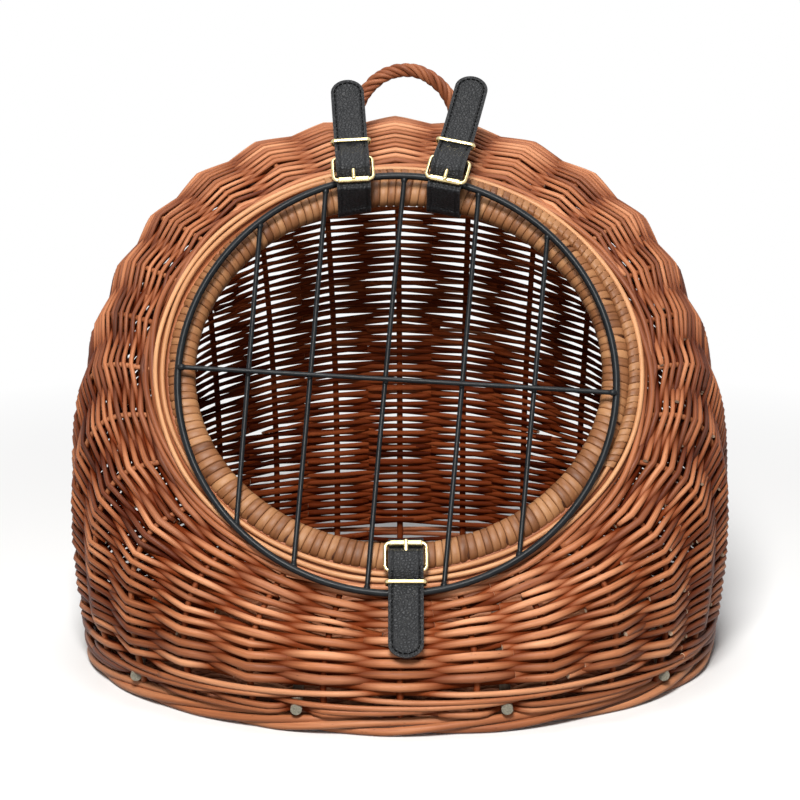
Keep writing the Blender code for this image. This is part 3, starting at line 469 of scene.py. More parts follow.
willow = rod_look("willow_rods", (0.13, 0.030, 0.009), (0.40, 0.138, 0.055), (0.68, 0.315, 0.160), 0.5)
old_willow = rod_look("willow_dark", (0.07, 0.016, 0.005), (0.24, 0.072, 0.028), (0.43, 0.17, 0.08), 0.55)
cane = rod_look("rim_cane", (0.10, 0.034, 0.012), (0.24, 0.098, 0.038), (0.39, 0.19, 0.082), 0.45, 0.25)
pale_cane = rod_look("pale_cane", (0.24, 0.09, 0.033), (0.46, 0.205, 0.088), (0.66, 0.35, 0.17), 0.42, 0.3)
core_brown = rod_look("cane_core", (0.03, 0.010, 0.004), (0.07, 0.024, 0.010), (0.11, 0.04, 0.018), 0.7)
bark = rod_look("stick_bark", (0.10, 0.07, 0.045), (0.21, 0.155, 0.11), (0.33, 0.26, 0.20), 0.75)


def cut_wood_look(name, dark, light):
    look = Look(name, 0.75)
    rings = look.noise(look.position(), (900,) * 3)
    look.into(look.ramp(rings, (0.30, dark), (0.70, light)), "Base Color")
    look.bump(rings, 0.3, 0.0003)
    return look.material


cut_wood = cut_wood_look("cut_wood", (0.36, 0.24, 0.15), (0.66, 0.50, 0.36))
stick_cut = cut_wood_look("stick_cut", (0.13, 0.12, 0.09), (0.27, 0.25, 0.19))


def metal_look():
    look = Look("pale_gold", 0.24, 1.0)
    place = look.position()
    wear = look.noise(place, (160,) * 3, 4.0)
    look.into(look.ramp(wear, (0.3, (0.56, 0.44, 0.20)), (0.7, (0.78, 0.66, 0.37))), "Base Color")
    look.into(look.ramp(wear, (0.3, 0.18), (0.7, 0.34)), "Roughness")
    look.bump(look.noise(place, (1400,) * 3, 2.0), 0.08, 0.0002)
    return look.material


def wire_look():
    look = Look("black_lacquer", 0.34)
    runs = look.noise(look.position(), (220,) * 3)
    look.into(look.ramp(runs, (0.3, (0.004, 0.005, 0.006)), (0.7, (0.009, 0.011, 0.013))), "Base Color")
    look.into(look.ramp(runs, (0.3, 0.30), (0.7, 0.42)), "Roughness")
    look.bump(runs, 0.12, 0.0004)
    look.set(Specular_IOR_Level=0.16)
    return look.material


def leather_look():
    """Black leather with small creases painted darker as shade, a worn bevel along its edge and a pressed
    groove for the stitches.
    """
    look = Look("black_leather", 0.52)
    place = look.attribute("grain", "Vector")
    shifted = look.node("ShaderNodeVectorMath", operation="ADD")
    look.join(look.scaled(place, (520, 440, 440)), shifted.inputs[0])
    look.join(look.noise(place, (350,) * 3, 2.0), shifted.inputs[1])
    crease_distance = look.cells(shifted.outputs["Vector"], feature="DISTANCE_TO_EDGE")
    crease = look.ramp(crease_distance, (0.0, 0), (0.32, 1))
    edge = look.attribute("edge", "Fac")
    bevel = look.ramp(edge, (0.02, 1), (0.055, 0))
    groove = look.ramp(edge, (0.20, 0), (0.235, 1), (0.275, 1), (0.31, 0))
    # Painted shade: the creases between the pebbles are darker than the cells, besides their bump
    colour = look.mix(crease, (0.004, 0.0044, 0.005), (0.020, 0.0212, 0.0235))
    colour = look.mix(look.math("MULTIPLY", bevel, 0.7), colour, (0.040, 0.040, 0.042))
    colour = look.mix(look.math("MULTIPLY", groove, 0.6), colour, (0.004, 0.004, 0.005))
    look.into(colour, "Base Color")
    look.bump(look.math("SUBTRACT", look.math("MULTIPLY", crease, 0.8), groove), 1.0, 0.0005)
    look.set(Specular_IOR_Level=0.30)
    return look.material


def thread_look():
    look = Look("black_thread", 0.6)
    fibres = look.noise(look.attribute("grain", "Vector"), (2500,) * 3)
    look.into(look.ramp(fibres, (0.3, 0.001), (0.7, 0.004)), "Base Color")
    look.set(Specular_IOR_Level=0.02)
    return look.material


pale_gold, black_lacquer = metal_look(), wire_look()
black_leather, black_thread = leather_look(), thread_look()


# The woven wall
def row_weights(wanted):
    """How full each pair of rows is at each column; a pair that doesn't fit all round thins out."""
    most = int(math.ceil(wanted.max()))
    order = np.argsort(np.argsort(np.mod(np.arange(most) * GOLDEN_SHARE + INSERT_FIRST, 1)))
    return ease(0.5 + (wanted[None] - order[:, None] - 0.5) / INSERT_SPREAD)


def weave_wall():
    """Pairs of rows from the foot to the mouth, one before a stake where the other is behind it."""
    skin = Surface(STAKES * STAKE_STEPS)
    pitch = three_way(ROD_PITCH, np.sin(skin.angle))
    half = pitch / 2 * three_way(ROD_FILL, np.sin(skin.angle))
    swing = STAKE_HALF + half * ROD_FLAT
    middle_depth = swing + half * ROD_FLAT
    use = skin.length - WEAVE_LOW - WEAVE_HIGH
    weight = row_weights(use / (2 * pitch))
    below = np.cumsum(weight, axis=0) - weight
    total = weight.sum(axis=0)
    cosine = np.cos(STAKES / 2 * (skin.angle + np.pi / 2))
    wave = np.arcsin(WAVE_SHARPNESS * cosine) / math.asin(WAVE_SHARPNESS)
    rods, dark = Rods("woven_wall", 8), Rods("woven_wall_dark_rods", 8)
    every = np.arange(skin.columns)
    stake = every // STAKE_STEPS
    after = (stake + 1) % STAKES
    step_share = every / STAKE_STEPS - stake
    for pair, fullness in enumerate(weight):
        for member, parity in ((0, 1), (1, -1)):
            share = (below[pair] + fullness * (0.25 + 0.5 * member)) / total
            wander = np.array([chance.gauss(0, ROD_WANDER) for _ in range(STAKES)])
            wander = (wander[stake] + (wander[after] - wander[stake]) * ease(step_share)) * pitch
            point, normal, climb = skin.at(every, WEAVE_LOW + share * use + wander)
            here, there = point[stake * STAKE_STEPS], point[after * STAKE_STEPS]
            chord = here * (1 - step_share[:, None]) + there * step_share[:, None]
            lift = swing * parity * wave - middle_depth
            path = point * (1 - CHORD_SHARE) + chord * CHORD_SHARE + normal * lift[:, None]
            snug = 1 + LOWER_FILL * (1 - ease(share * 1.6)) + CROWN_FILL * ease((share - 0.7) / 0.15)
            rod = half * (0.4 + 0.6 * fullness) * snug
            add_row(rods, dark, path, normal, climb, rod, fullness > LIVE_SHARE, parity, -lift)
    wale_foot(skin, rods, dark)
    rope_mouth(rods)
    rods.build(willow, "basket", "willow", ["basket_wall"], cut_wood)
    dark.build(old_willow, "basket", "willow", (), cut_wood)
    set_stakes(skin, middle_depth)


def set_stakes(skin, middle_depth):
    stakes, steps = Rods("wall_stakes", 10), 60
    for column in range(0, skin.columns, STAKE_STEPS):
        distance = np.linspace(STAKE_FOOT_GAP, skin.length[column] - STAKE_TOP_GAP, steps)
        point, normal, _ = skin.at(np.full(steps, column), distance)
        thick = np.linspace(STAKE_HALF * 1.12, STAKE_HALF * 0.9, steps)
        sunk = middle_depth[column]
        stakes.add(point - normal * sunk, thick, normal, 0.9, depth=sunk)
    stakes.build(willow, "basket", "willow")


def wale_foot(skin, rods, dark):
    """The close rows just above the foot, each in front of three stakes and behind the fourth."""
    every = np.arange(skin.columns)
    place = every / STAKE_STEPS
    for row in range(WALE_ROWS):
        turn = np.mod(place - row, WALE_STAKES)
        dip = np.exp(-((np.minimum(turn, WALE_STAKES - turn) / 0.5) ** 2))
        slant = WALE_SLANT * np.sin(2 * np.pi * (place - row + 1) / WALE_STAKES)
        slant = slant + WALE_WAVER * np.sin(place * 1.3 + row)
        point, normal, climb = skin.at(every, WALE_LOW + row * WALE_PITCH + slant)
        if row < 2:
            dip = np.maximum(dip, beside_stick(skin.angle))
        lift = -WALE_HALF * 0.9 - WALE_SUNK - dip * WALE_DIP
        half = np.full(skin.columns, WALE_HALF) * chance.uniform(0.95, 1.05)
        path = point + normal * lift[:, None]
        add_row(rods, dark, path, normal, climb, half, np.full(skin.columns, True), 1, -lift)


def beside_stick(angle):
    """How near each angle is to the end of a stick: one at the end and zero away from it."""
    near = 0 * angle
    for share in STICK_PLACE_SHARES:
        for turn in (math.acos(share), -math.acos(share)):
            off = np.mod(angle - turn + np.pi, 2 * np.pi) - np.pi
            near = np.maximum(near, np.exp(-((off * FOOT_HALF_WIDTH / STICK_WAKE) ** 2)))
    return near


def rope_mouth(rods):
    """Rods under the rim's edge, and a rope of three rods twisted round the mouth outside the door ring."""
    skin = Surface(STAKES * 16)
    every = np.arange(skin.columns)
    share = every / skin.columns
    sunk = UNDERLAY_HALF + GAP
    for place in UNDERLAY_PLACES:
        point, normal, _ = skin.at(every, skin.length - place)
        rods.add(point - normal * sunk, UNDERLAY_HALF, normal, ROD_FLAT, 0.15, closed=True, depth=sunk)
    for strand in range(ROPE_STRANDS):
        turn = 2 * np.pi * (ROPE_TURNS * share + strand / ROPE_STRANDS)
        turn = turn + 0.3 * np.sin(2 * np.pi * (3 * share + 0.37 * strand))
        distance = skin.length - ROPE_PLACE - ROPE_HALF_WIDTH * np.cos(turn)
        point, normal, _ = skin.at(every, distance)
        sunk = ROPE_DEPTH - ROPE_HALF_HEIGHT * np.sin(turn)
        path = point - normal * sunk[:, None]
        half = ROPE_HALF * (1 + 0.08 * np.sin(2 * np.pi * (5 * share + 0.3 * strand)))
        tone = 0.3 + 0.4 * chance.random()
        # The rope's tone carries painted shade at the wall's sides and painted light at its front
        rods.add(path, half, normal, 0.92, tone, closed=True, depth=sunk, brown=painted_side_shading(skin.angle))


def painted_side_shading(angle):
    """How much painted shade darkens the rods at the sides of the wall, and how much painted light brightens
    them at its front.
    """
    return SIDE_PAINTED_SHADE * np.cos(angle) ** 2 - FRONT_PAINTED_LIGHT * np.clip(-np.sin(angle), 0, 1) ** 3


def live_span(live):
    """First and last column, round the back, of a row that doesn't reach all round."""
    start = stop = len(live) // 2
    while start > 0 and live[start - 1]:
        start -= 1
    while stop < len(live) - 1 and live[stop + 1]:
        stop += 1
    return start, stop


def add_row(rods, dark, path, normal, climb, half, live, parity, depth):
    """One row of weaving, made of tapering rods that start and end behind a stake."""
    columns = len(path)
    # Painted shade at the sides and painted light at the front, for this row's tone
    brown = painted_side_shading(circle(columns) - np.pi / 2)
    whole = live.all()
    if whole:
        start = chance.randrange(STAKES) * STAKE_STEPS
        stop = start + columns
    else:
        start, stop = live_span(live)
        if stop - start < STAKE_STEPS:
            return
    here = start
    while here < stop:
        stake = round((here + chance.randint(5, 9) * STAKE_STEPS) / STAKE_STEPS)
        if (stake % 2 == 0) == (parity > 0):
            stake += 1
        end = min(stake * STAKE_STEPS, stop)
        if stop - end < 3 * STAKE_STEPS:
            end = stop
        before = 4 if whole or here > start else 0
        after = 4 if whole or end < stop else 0
        index = np.arange(here - before, end + after + 1)
        share = np.linspace(0, 1, len(index))
        wrapped = index % columns
        thick = half[wrapped] * chance.uniform(0.92, 1.06) * (1.08 - 0.22 * share)
        tuck = ROD_TUCK * ease((share - 1) * len(index) / STAKE_STEPS + 1)
        waver = climb[wrapped] * chance.gauss(0, ROD_WAVER)
        line = path[wrapped] - normal[wrapped] * tuck[:, None] + waver
        target = dark if chance.random() < DARK_ROD_SHARE else rods
        target.add(line, thick, normal[wrapped], ROD_FLAT, depth=depth[wrapped] + tuck, brown=brown[wrapped])
        here = end


def foot_line(angle, inset):
    across, depth = np.cos(angle), np.sin(angle)
    outward = unit(points_at(across / FOOT_HALF_WIDTH, depth / FOOT_HALF_DEPTH, 0))
    return points_at(FOOT_HALF_WIDTH * across, FOOT_HALF_DEPTH * depth, 0) - outward * inset, outward


def weave_border():
    border, count = Rods("foot_border_rods", 12), 400
    share = np.arange(count) / count
    centre, outward = foot_line(2 * np.pi * share, BORDER_RADIUS)
    centre = centre + z_axis * (BORDER_RADIUS - BORDER_FLAT)
    wide, high = BORDER_TWIST
    for strand in range(BORDER_STRANDS):
        turn = 2 * np.pi * (BORDER_TURNS * share + strand / BORDER_STRANDS)
        turn = turn + 0.45 * np.sin(2 * np.pi * 4 * share + strand)
        path = centre + outward * (wide * np.cos(turn))[:, None] + z_axis * (high * np.sin(turn))[:, None]
        half = BORDER_STRAND_HALF + 0.0003 * np.sin(2 * np.pi * (7 * share + strand * 0.31))
        path[:, 2] = np.maximum(path[:, 2], half + 0.0001)
        border.add(path, half, outward, 1.0, 0.25 + 0.2 * strand, closed=True)
    border.build(willow, "basket", "willow", ["foot_border"])
    core = Rods("foot_border_core", 8)
    core.add(centre, 0.0030, outward, 1.0, 0.4, closed=True)
    core.build(core_brown, "basket", "willow")


def weave_floor():
    """A woven mat as thick as the part's floor: ribs from front to back, with rods over and under them."""
    floor = Rods("woven_floor", 8)
    wide = FOOT_HALF_WIDTH - 2 * BORDER_RADIUS + 0.001
    deep = FOOT_HALF_DEPTH - 2 * BORDER_RADIUS + 0.001
    middle = border_top / 2
    rib_x = np.linspace(-0.88, 0.88, FLOOR_RIBS) * wide
    for x in rib_x:
        reach = deep * math.sqrt(1 - (x / wide) ** 2)
        floor.add(points_at(x, np.linspace(-reach, reach, 24), middle), FLOOR_RIB_HALF, z_axis)
    rows = int(deep / FLOOR_ROD_PITCH)
    taper = FLOOR_ROD_HALF * np.linspace(1.06, 0.9, 105)
    for row in range(-rows, rows + 1):
        y = row * FLOOR_ROD_PITCH
        reach = wide * math.sqrt(max(0, 1 - (y / deep) ** 2))
        if reach < 0.02:
            continue
        x = np.linspace(-reach, reach, len(taper))
        sign = 1 if row % 2 else -1
        wave = sign * np.cos(np.pi * (x - rib_x[0]) / (rib_x[1] - rib_x[0]))
        thick_end = chance.choice((1, -1))
        line = points_at(x, y, middle + (FLOOR_RIB_HALF + FLOOR_ROD_HALF) * wave)
        floor.add(line, taper[::thick_end], z_axis)
    floor.build(old_willow, "basket", "willow", ["base_floor"], cut_wood)


def lay_sticks():
    sticks, names = Rods("base_sticks", 20), []
    height = wall_foot_z + STICK_RADIUS + SEAT_GAP
    for number, share in enumerate(STICK_PLACE_SHARES):
        x = share * FOOT_HALF_WIDTH
        reach = FOOT_HALF_DEPTH * math.sqrt(1 - (x / FOOT_HALF_WIDTH) ** 2) + STICK_PROUD
        y = np.linspace(-reach, reach, 40)
        thick = STICK_RADIUS * (1 - 0.03 * np.abs(np.sin(y * 45 + number)))
        sticks.add(points_at(x, y, height), thick, z_axis, 1.0)
        names.append(f"base_stick_{number + 1}")
    sticks.build(bark, "basket", "cut_stick", names, stick_cut)


# Rim: cane wrapped round the roll, and two pale rods beside it
def roll_frame(angle):
    inset = ROLL_HALF_WIDTH - ROLL_LAP
    wide, high = MOUTH_HALF_WIDTH - inset, MOUTH_HALF_HEIGHT - inset
    across, up = np.cos(angle)[..., None], np.sin(angle)[..., None]
    centre = mouth_centre() + x_axis * wide * across + mouth_up * high * up - mouth_out * ROLL_SUNK
    side = unit(x_axis * (across / wide) + mouth_up * (up / high))
    return centre, side


def roll_shares(turn):
    across, out = np.cos(turn), np.sin(turn)
    reach = (np.abs(across) ** ROLL_SQUARENESS + np.abs(out) ** ROLL_SQUARENESS) ** (-1 / ROLL_SQUARENESS)
    return across * reach, out * reach


def wind(rods, frame_at, half_wide, half_thick, angles, pitch, closed):
    """Flat cane wound round a roll; on a closed roll every few wraps one dips where cane passes through."""
    length = run_length(frame_at(angles)[0])
    wraps = round(length[-1] / pitch)
    edges = np.cumsum([0] + [chance.uniform(0.9, 1.1) for _ in range(wraps)])
    edges = edges / edges[-1] * length[-1]
    size = WRAP_TURN_STEPS + 1
    turn_share = np.arange(size) / WRAP_TURN_STEPS
    turn = 2 * np.pi * turn_share + np.pi * 1.25
    across_share, out_share = roll_shares(turn)
    profile_scale = min(1, half_thick / 0.006)
    dipped = 3
    for wrap in range(wraps):
        tone, rise = chance.random(), chance.uniform(-WRAP_WAVER, 0.0)
        dip = 0 * turn
        if closed and wrap == dipped:
            dipped += chance.randint(5, 8)
            dip = -WRAP_DIP * np.exp(-(((np.mod(turn, 2 * np.pi) - 0.75) / 0.42) ** 2))
        width = edges[wrap + 1] - edges[wrap]
        slant = (turn_share - 0.5) * width * 0.9
        shift = tone * GRAIN_SHIFT
        for place, drop in WRAP_PROFILE:
            along = edges[wrap] + width * (0.5 + place * 0.97) + slant
            along = np.mod(along, length[-1]) if closed else np.clip(along, 0, length[-1])
            middle, side, out = frame_at(np.interp(along, length, angles))
            sunk = drop * profile_scale + rise + dip * (place > 0.1)
            wide, high = (half_wide + sunk) * across_share, (half_thick + sunk) * out_share
            rods.points.append(middle + side * wide[:, None] + out * high[:, None])
            rods.grain.append(points_at(turn * half_wide + shift, place * 0.006 + shift, 0))
            rods.tones.append(np.full(size, tone))
            rods.depths.append(0 * turn)
        for strip in range(len(WRAP_PROFILE) - 1):
            for low in range(rods.count + strip * size, rods.count + (strip + 1) * size - 1):
                rods.faces.append((low, low + 1, low + size + 1, low + size))
                rods.cuts.append(0)
        rods.count += len(WRAP_PROFILE) * size


def rim_frame(angle):
    return *roll_frame(angle), mouth_out


def edge_frame(angle):
    point, normal, climb = wall_by_mouth(angle, EDGE_WRAP_PLACE)
    return point + normal * EDGE_WRAP_LIFT, climb, normal


def wall_by_mouth(angle, distance):
    """The wall's frame at a distance below the mouth's edge."""
    rise = 0.02
    edge, below = wall_skin(angle, 1 + 0 * angle), wall_skin(angle, 1 - rise + 0 * angle)
    speed = np.linalg.norm(edge - below, axis=-1) / rise
    return wall_frame(angle, 1 - distance / speed)


def wrap_rim():
    rim, edge, core = Rods("rim_wraps", 8), Rods("edge_wraps", 8), Rods("rim_core", 16)
    whole = np.linspace(0, 2 * np.pi, 721)
    wind(rim, rim_frame, ROLL_HALF_WIDTH, ROLL_HALF_THICKNESS, whole, WRAP_PITCH, True)
    rim.build(cane, "basket", "cane", ["opening_rim"])
    span = np.radians(np.linspace(*EDGE_WRAP_SPAN, 361))
    wind(edge, edge_frame, EDGE_WRAP_HALF, EDGE_WRAP_HALF * 0.75, span, WRAP_PITCH * 0.9, False)
    edge.build(cane, "basket", "cane")
    middle = roll_frame(circle(160))[0]
    core.add(middle, ROLL_HALF_WIDTH - 0.0010, mouth_out, 0.84, 0.4, closed=True)
    core.build(core_brown, "basket", "cane")


def lay_edge_rods():
    angle = circle(240)
    for number in range(2):
        rods = Rods(f"pale_edge_rod_{number + 1}", 10)
        point, normal, climb = wall_by_mouth(angle, EDGE_ROD_FIRST + number * EDGE_ROD_PITCH)
        waver = 0.00035 * np.sin(9 * angle + number * 2)
        line = point + normal * (EDGE_ROD_RADIUS + GAP) + climb * waver[:, None]
        half = EDGE_ROD_RADIUS * (0.97 + 0.06 * np.sin(3 * angle + number))
        rods.add(line, half, normal, 0.97, 0.55 + 0.2 * number, closed=True)
        rods.build(pale_cane, "basket", "cane", [f"rim_edge_rod_{number + 1}"])


def handle_foot_height():
    """How high the wall stands where the handle goes in, found on a grid of its angles and rises."""
    best, steps = None, 80
    for turn in range(steps):
        angle = math.pi * (turn + 0.5) / steps
        for climb in range(steps // 2, steps):
            x, y, z = wall_skin(np.array(angle), np.array(climb / steps))
            off = math.hypot(x - HANDLE_CENTRE_X, y - HANDLE_PLACE_Y)
            if z > MOUTH_CENTRE_Z and (best is None or off < best[0]):
                best = (off, z)
    return best[1]


def handle_line():
    """The handle's middle: an arch, with a root at each end that spreads as it goes down into the wall."""
    half_span, foot_z = HANDLE_SPAN / 2, handle_foot_height()
    arch, root = 120, 18
    line = []
    for index in range(-root, arch + root + 1):
        angle = math.pi * (1 - index / arch)
        if 0 <= index <= arch:
            x, z = half_span * math.cos(angle), HANDLE_RISE * math.sin(angle)
        else:
            past = max(-index, index - arch) / root
            x = math.copysign(half_span + HANDLE_ROOT * HANDLE_ROOT_SPREAD_SHARE * past**2, index)
            z = -HANDLE_ROOT * past
        line.append((HANDLE_CENTRE_X + x, HANDLE_PLACE_Y, foot_z + z))
    return np.array(line)


def twist_handle():
    line = handle_line()
    up = np.broadcast_to(np.array((0, 1.0, 0)), line.shape)
    side = np.cross(unit(np.gradient(line, axis=0)), up)
    share = np.linspace(0, 1, len(line))
    handle, core = Rods("twisted_handle", 10), Rods("handle_core", 8)
    for strand in range(HANDLE_STRANDS):
        turn = 2 * np.pi * (strand / HANDLE_STRANDS - HANDLE_TURNS * share)
        turn = turn + 0.25 * np.sin(9 * share + strand)
        off = HANDLE_TWIST + 0.0001 * math.sin(strand * 2.1)
        path = line + side * (off * np.cos(turn))[:, None] + up * (off * np.sin(turn))[:, None]
        half = HANDLE_STRAND_HALF * (0.95 + 0.08 * chance.random()) + 0.00006 * np.sin(14 * share + strand)
        handle.add(path, half)
    handle.build(old_willow, "basket", "willow", ["handle"], cut_wood)
    core.add(line, 0.0026, up, 1.0, 0.5)
    core.build(core_brown, "basket", "willow")


# Wire door
door_up = unit(mouth_up * math.cos(DOOR_TILT) + mouth_out * math.sin(DOOR_TILT))
door_out = unit(mouth_out * math.cos(DOOR_TILT) - mouth_up * math.sin(DOOR_TILT))
door_centre = mouth_centre() + x_axis * DOOR_SHIFT + mouth_out * DOOR_STANDOFF - mouth_up * DOOR_DROP
door_half_width = MOUTH_HALF_WIDTH - DOOR_INSIDE_MOUTH
door_half_height = MOUTH_HALF_HEIGHT + DOOR_OUTSIDE_MOUTH


def ring_height(x):
    return door_half_height * math.sqrt(1 - (x / door_half_width) ** 2)


def blob(rods, centre, axis, half_length, half):
    """A welded nugget: a short tube whose ends close in."""
    share = np.linspace(-1, 1, 9)
    path = centre + axis * (share * half_length)[:, None]
    rods.add(path, half * np.sqrt(np.maximum(1 - share**2, 0.02)))


def inside_ring(place, direction, room):
    """Middle and half length of a straight bar through this place, kept this room inside the ring."""
    size = np.array((door_half_width - room, door_half_height - room))
    square = ((direction / size) ** 2).sum()
    cross = (place * direction / size**2).sum()
    past = ((place / size) ** 2).sum() - 1
    return place - direction * (cross / square), math.sqrt(cross**2 - square * past) / square


def door_bars():
    """Direction, place and standoff of each bar in the door's plane: the upright bars, then the cross bar."""
    bars = []
    for share, lean in zip(BAR_PLACE_SHARES, BAR_LEANS):
        along = np.array((math.sin(lean), math.cos(lean)))
        across = np.array((math.cos(lean), -math.sin(lean)))
        bars.append((along, across * share * door_half_width, -BAR_SET_BACK))
    along = np.array((math.cos(CROSS_BAR_LEAN), -math.sin(CROSS_BAR_LEAN)))
    place = np.array((math.sin(CROSS_BAR_LEAN), math.cos(CROSS_BAR_LEAN))) * CROSS_BAR_RISE
    bars.append((along, place, 2 * BAR_WIRE + GAP - BAR_SET_BACK))
    return bars


def weld_door():
    wire, angle = Rods("door_wires", 14), circle(192)
    across = x_axis * (door_half_width * np.cos(angle))[:, None]
    ring = door_centre + across + door_up * (door_half_height * np.sin(angle))[:, None]
    wire.add(ring, DOOR_WIRE, door_out, 1.0, 0.3, closed=True)
    plane = np.array((x_axis, door_up))
    bars = door_bars()
    cross_way, cross_place, cross_out = bars[-1]
    for way, place, out in bars[:-1]:
        crossing = np.linalg.solve(np.array((way, -cross_way)).T, cross_place - place)[0]
        weld = door_centre + (place + way * crossing) @ plane + door_out * (out + cross_out) / 2
        blob(wire, weld, way @ plane, WELD_HALF_LENGTH, WELD_HALF)
    for way, place, out in bars:
        middle, reach = inside_ring(place, way, DOOR_WIRE * 0.5)
        share = np.linspace(-1, 1, 61)
        bow = BAR_BOW * (1 - share**2) * chance.uniform(-1, 1)
        centre, run = door_centre + middle @ plane + door_out * out, way @ plane
        path = centre + run * (share * reach)[:, None] + np.cross(run, door_out) * bow[:, None]
        wire.add(path, BAR_WIRE, door_out, 1.0)
        for end in (-1, 1):
            tip = centre + run * (end * (reach - BAR_END_SET_IN))
            blob(wire, tip, run, BAR_END_HALF_LENGTH, BAR_WIRE * BAR_END_FULLNESS)
    names = ["door_ring", "door_cross_bar"] + [f"door_bar_{number}" for number in range(1, 6)]
    wire.build(black_lacquer, "door", "black_wire", names)


# Belts
def smooth_path(knots, steps):
    ends = [knots[0] * 2 - knots[1], *knots, knots[-1] * 2 - knots[-2]]
    path = []
    for index in range(1, len(ends) - 2):
        before, start, end, after = ends[index - 1 : index + 3]
        for step in range(steps):
            t = step / steps
            curve = 2 * start + (end - before) * t + (2 * before - 5 * start + 4 * end - after) * t**2
            path.append(0.5 * (curve + (3 * start - before - 3 * end + after) * t**3))
    path.append(knots[-1].copy())
    return np.array(path)


class Belt:
    """One belt's own frame and the middle lines of its strap, as in the CAD part."""

    def __init__(self, belt):
        self.belt = belt
        x, side = belt["x"], belt["side"]
        wide = MOUTH_HALF_WIDTH - ROLL_HALF_WIDTH + ROLL_LAP
        tall = MOUTH_HALF_HEIGHT - ROLL_HALF_WIDTH + ROLL_LAP
        roll_reach = tall * math.sqrt(1 - (x / wide) ** 2)
        ring = door_centre + side * door_up * ring_height(x - DOOR_SHIFT) - mouth_centre()
        ring_reach, ring_out = side * ring @ mouth_up, ring @ mouth_out
        if side > 0:
            reach, out = ring_reach - ROLLER_BEFORE_RING, ring_out + BUCKLE_LIFT
        else:
            reach = roll_reach - ROLL_HALF_WIDTH / 2
            out = ring_out + DOOR_WIRE + SEAT_GAP + STRAP_THICKNESS / 2 - LOWER_LAYER
        spot = np.array((x, MOUTH_CENTRE_Y, MOUTH_CENTRE_Z)) + side * mouth_up * reach + mouth_out * out
        lean = belt["lean"]
        along = side * mouth_up * math.cos(lean) - mouth_out * math.sin(lean)
        out_axis = side * mouth_up * math.sin(lean) + mouth_out * math.cos(lean)
        along = np.array(Matrix.Rotation(belt["sideways"], 3, Vector(out_axis)) @ Vector(along))
        self.axes = np.array((unit(np.cross(along, out_axis)), along, out_axis))
        self.spot = spot
        self.angle = side * math.acos(x / MOUTH_HALF_WIDTH)

    def world(self, points):
        return self.spot + np.asarray(points) @ self.axes

    def own(self, point):
        return self.axes @ (point - self.spot)

    def roll_at(self, turn):
        return self.own(roll_frame(np.array(self.belt["side"] * turn))[0])

    def roll_middle(self, across):
        """The middle of the rim's roll where the belt's line at this distance across meets it."""
        low, high = math.radians(10), math.radians(170)
        rising = self.roll_at(high)[0] > self.roll_at(low)[0]
        for _ in range(30):
            middle = (low + high) / 2
            if (self.roll_at(middle)[0] < across) == rising:
                low = middle
            else:
                high = middle
        return self.roll_at(middle)[1:]

    def skin_at(self, angle, rise):
        return self.own(wall_skin(np.array(angle), np.array(rise)))

    def from_skin(self, across, along, depth):
        """A place given in the belt's frame, moved to this depth below the wall's skin."""
        angle, rise, nudge = self.angle, 0.93, 0.001
        for _ in range(8):
            here = self.skin_at(angle, rise)
            turned = (self.skin_at(angle + nudge, rise) - here) / nudge
            climbed = (self.skin_at(angle, rise + nudge) - here) / nudge
            off_x, off_y = across - here[0], along - here[1]
            scale = turned[0] * climbed[1] - climbed[0] * turned[1]
            angle += (off_x * climbed[1] - climbed[0] * off_y) / scale
            rise += (turned[0] * off_y - off_x * turned[1]) / scale
        point, normal, _ = wall_frame(np.array(angle), np.array(rise))
        return self.own(point - normal * depth)[1:]

    def knots(self, across):
        """The strap's course: round the buckle's bar, through the wall, round the rim and over the roller."""
        belt, half = self.belt, STRAP_THICKNESS / 2
        bar_reach = BUCKLE_WIRE + 2 * GAP + half
        under_roller = ROLLER_RADIUS + SEAT_GAP + half
        inside = WALL + SCALLOP + 2 * ROW_RELIEF + half + LOOP_SLACK
        knots = []
        for degrees in HOOK_TURNS:
            turn = math.radians(degrees)
            knots.append((BUCKLE_LENGTH + bar_reach * math.cos(turn), bar_reach * math.sin(turn)))
        knots += belt["lower_knots"]
        slot = belt["slot_place"]
        knots.append(self.from_skin(across, slot, -2 * half))
        knots.append(self.from_skin(across, slot, inside * 0.7))
        middle = self.roll_middle(across)
        for share in INSIDE_PLACE_SHARES:
            knots.append(self.from_skin(across, middle[0] + (slot - middle[0]) * share, inside + LOOP_SLACK))
        for degrees in ROLL_TURNS:
            across_share, out_share = roll_shares(np.array(math.radians(degrees)))
            knots.append((
                middle[0] + (ROLL_HALF_WIDTH + half + LOOP_SLACK) * across_share,
                middle[1] + (ROLL_HALF_THICKNESS + half + LOOP_SLACK) * out_share,
            ))
        knots += [
            (-half - LEAD_BEND, -under_roller - LEAD_BEND),
            (-half - LEAD_BEND * (1 - LEAD_BEND_SHARE), -under_roller - LEAD_BEND * LEAD_BEND_SHARE),
            (-half, -under_roller),
            (ROLLER_RADIUS, -under_roller),
            (0.0062, 0.0026),
            (0.0096, 0.0055),
            (BUCKLE_LENGTH + PRONG_WIRE / 2, TAIL_OVER_BAR),
            (belt["keeper_place"] - STRAP_THICKNESS, UPPER_LAYER),
            (belt["keeper_place"], UPPER_LAYER),
            (belt["upper_end"], UPPER_LAYER),
            ((belt["upper_end"] + belt["tail"]) / 2, UPPER_LAYER + belt["tail_lift"] / 3),
            (belt["tail"], UPPER_LAYER + belt["tail_lift"]),
        ]
        return [np.array(knot, float) for knot in knots]


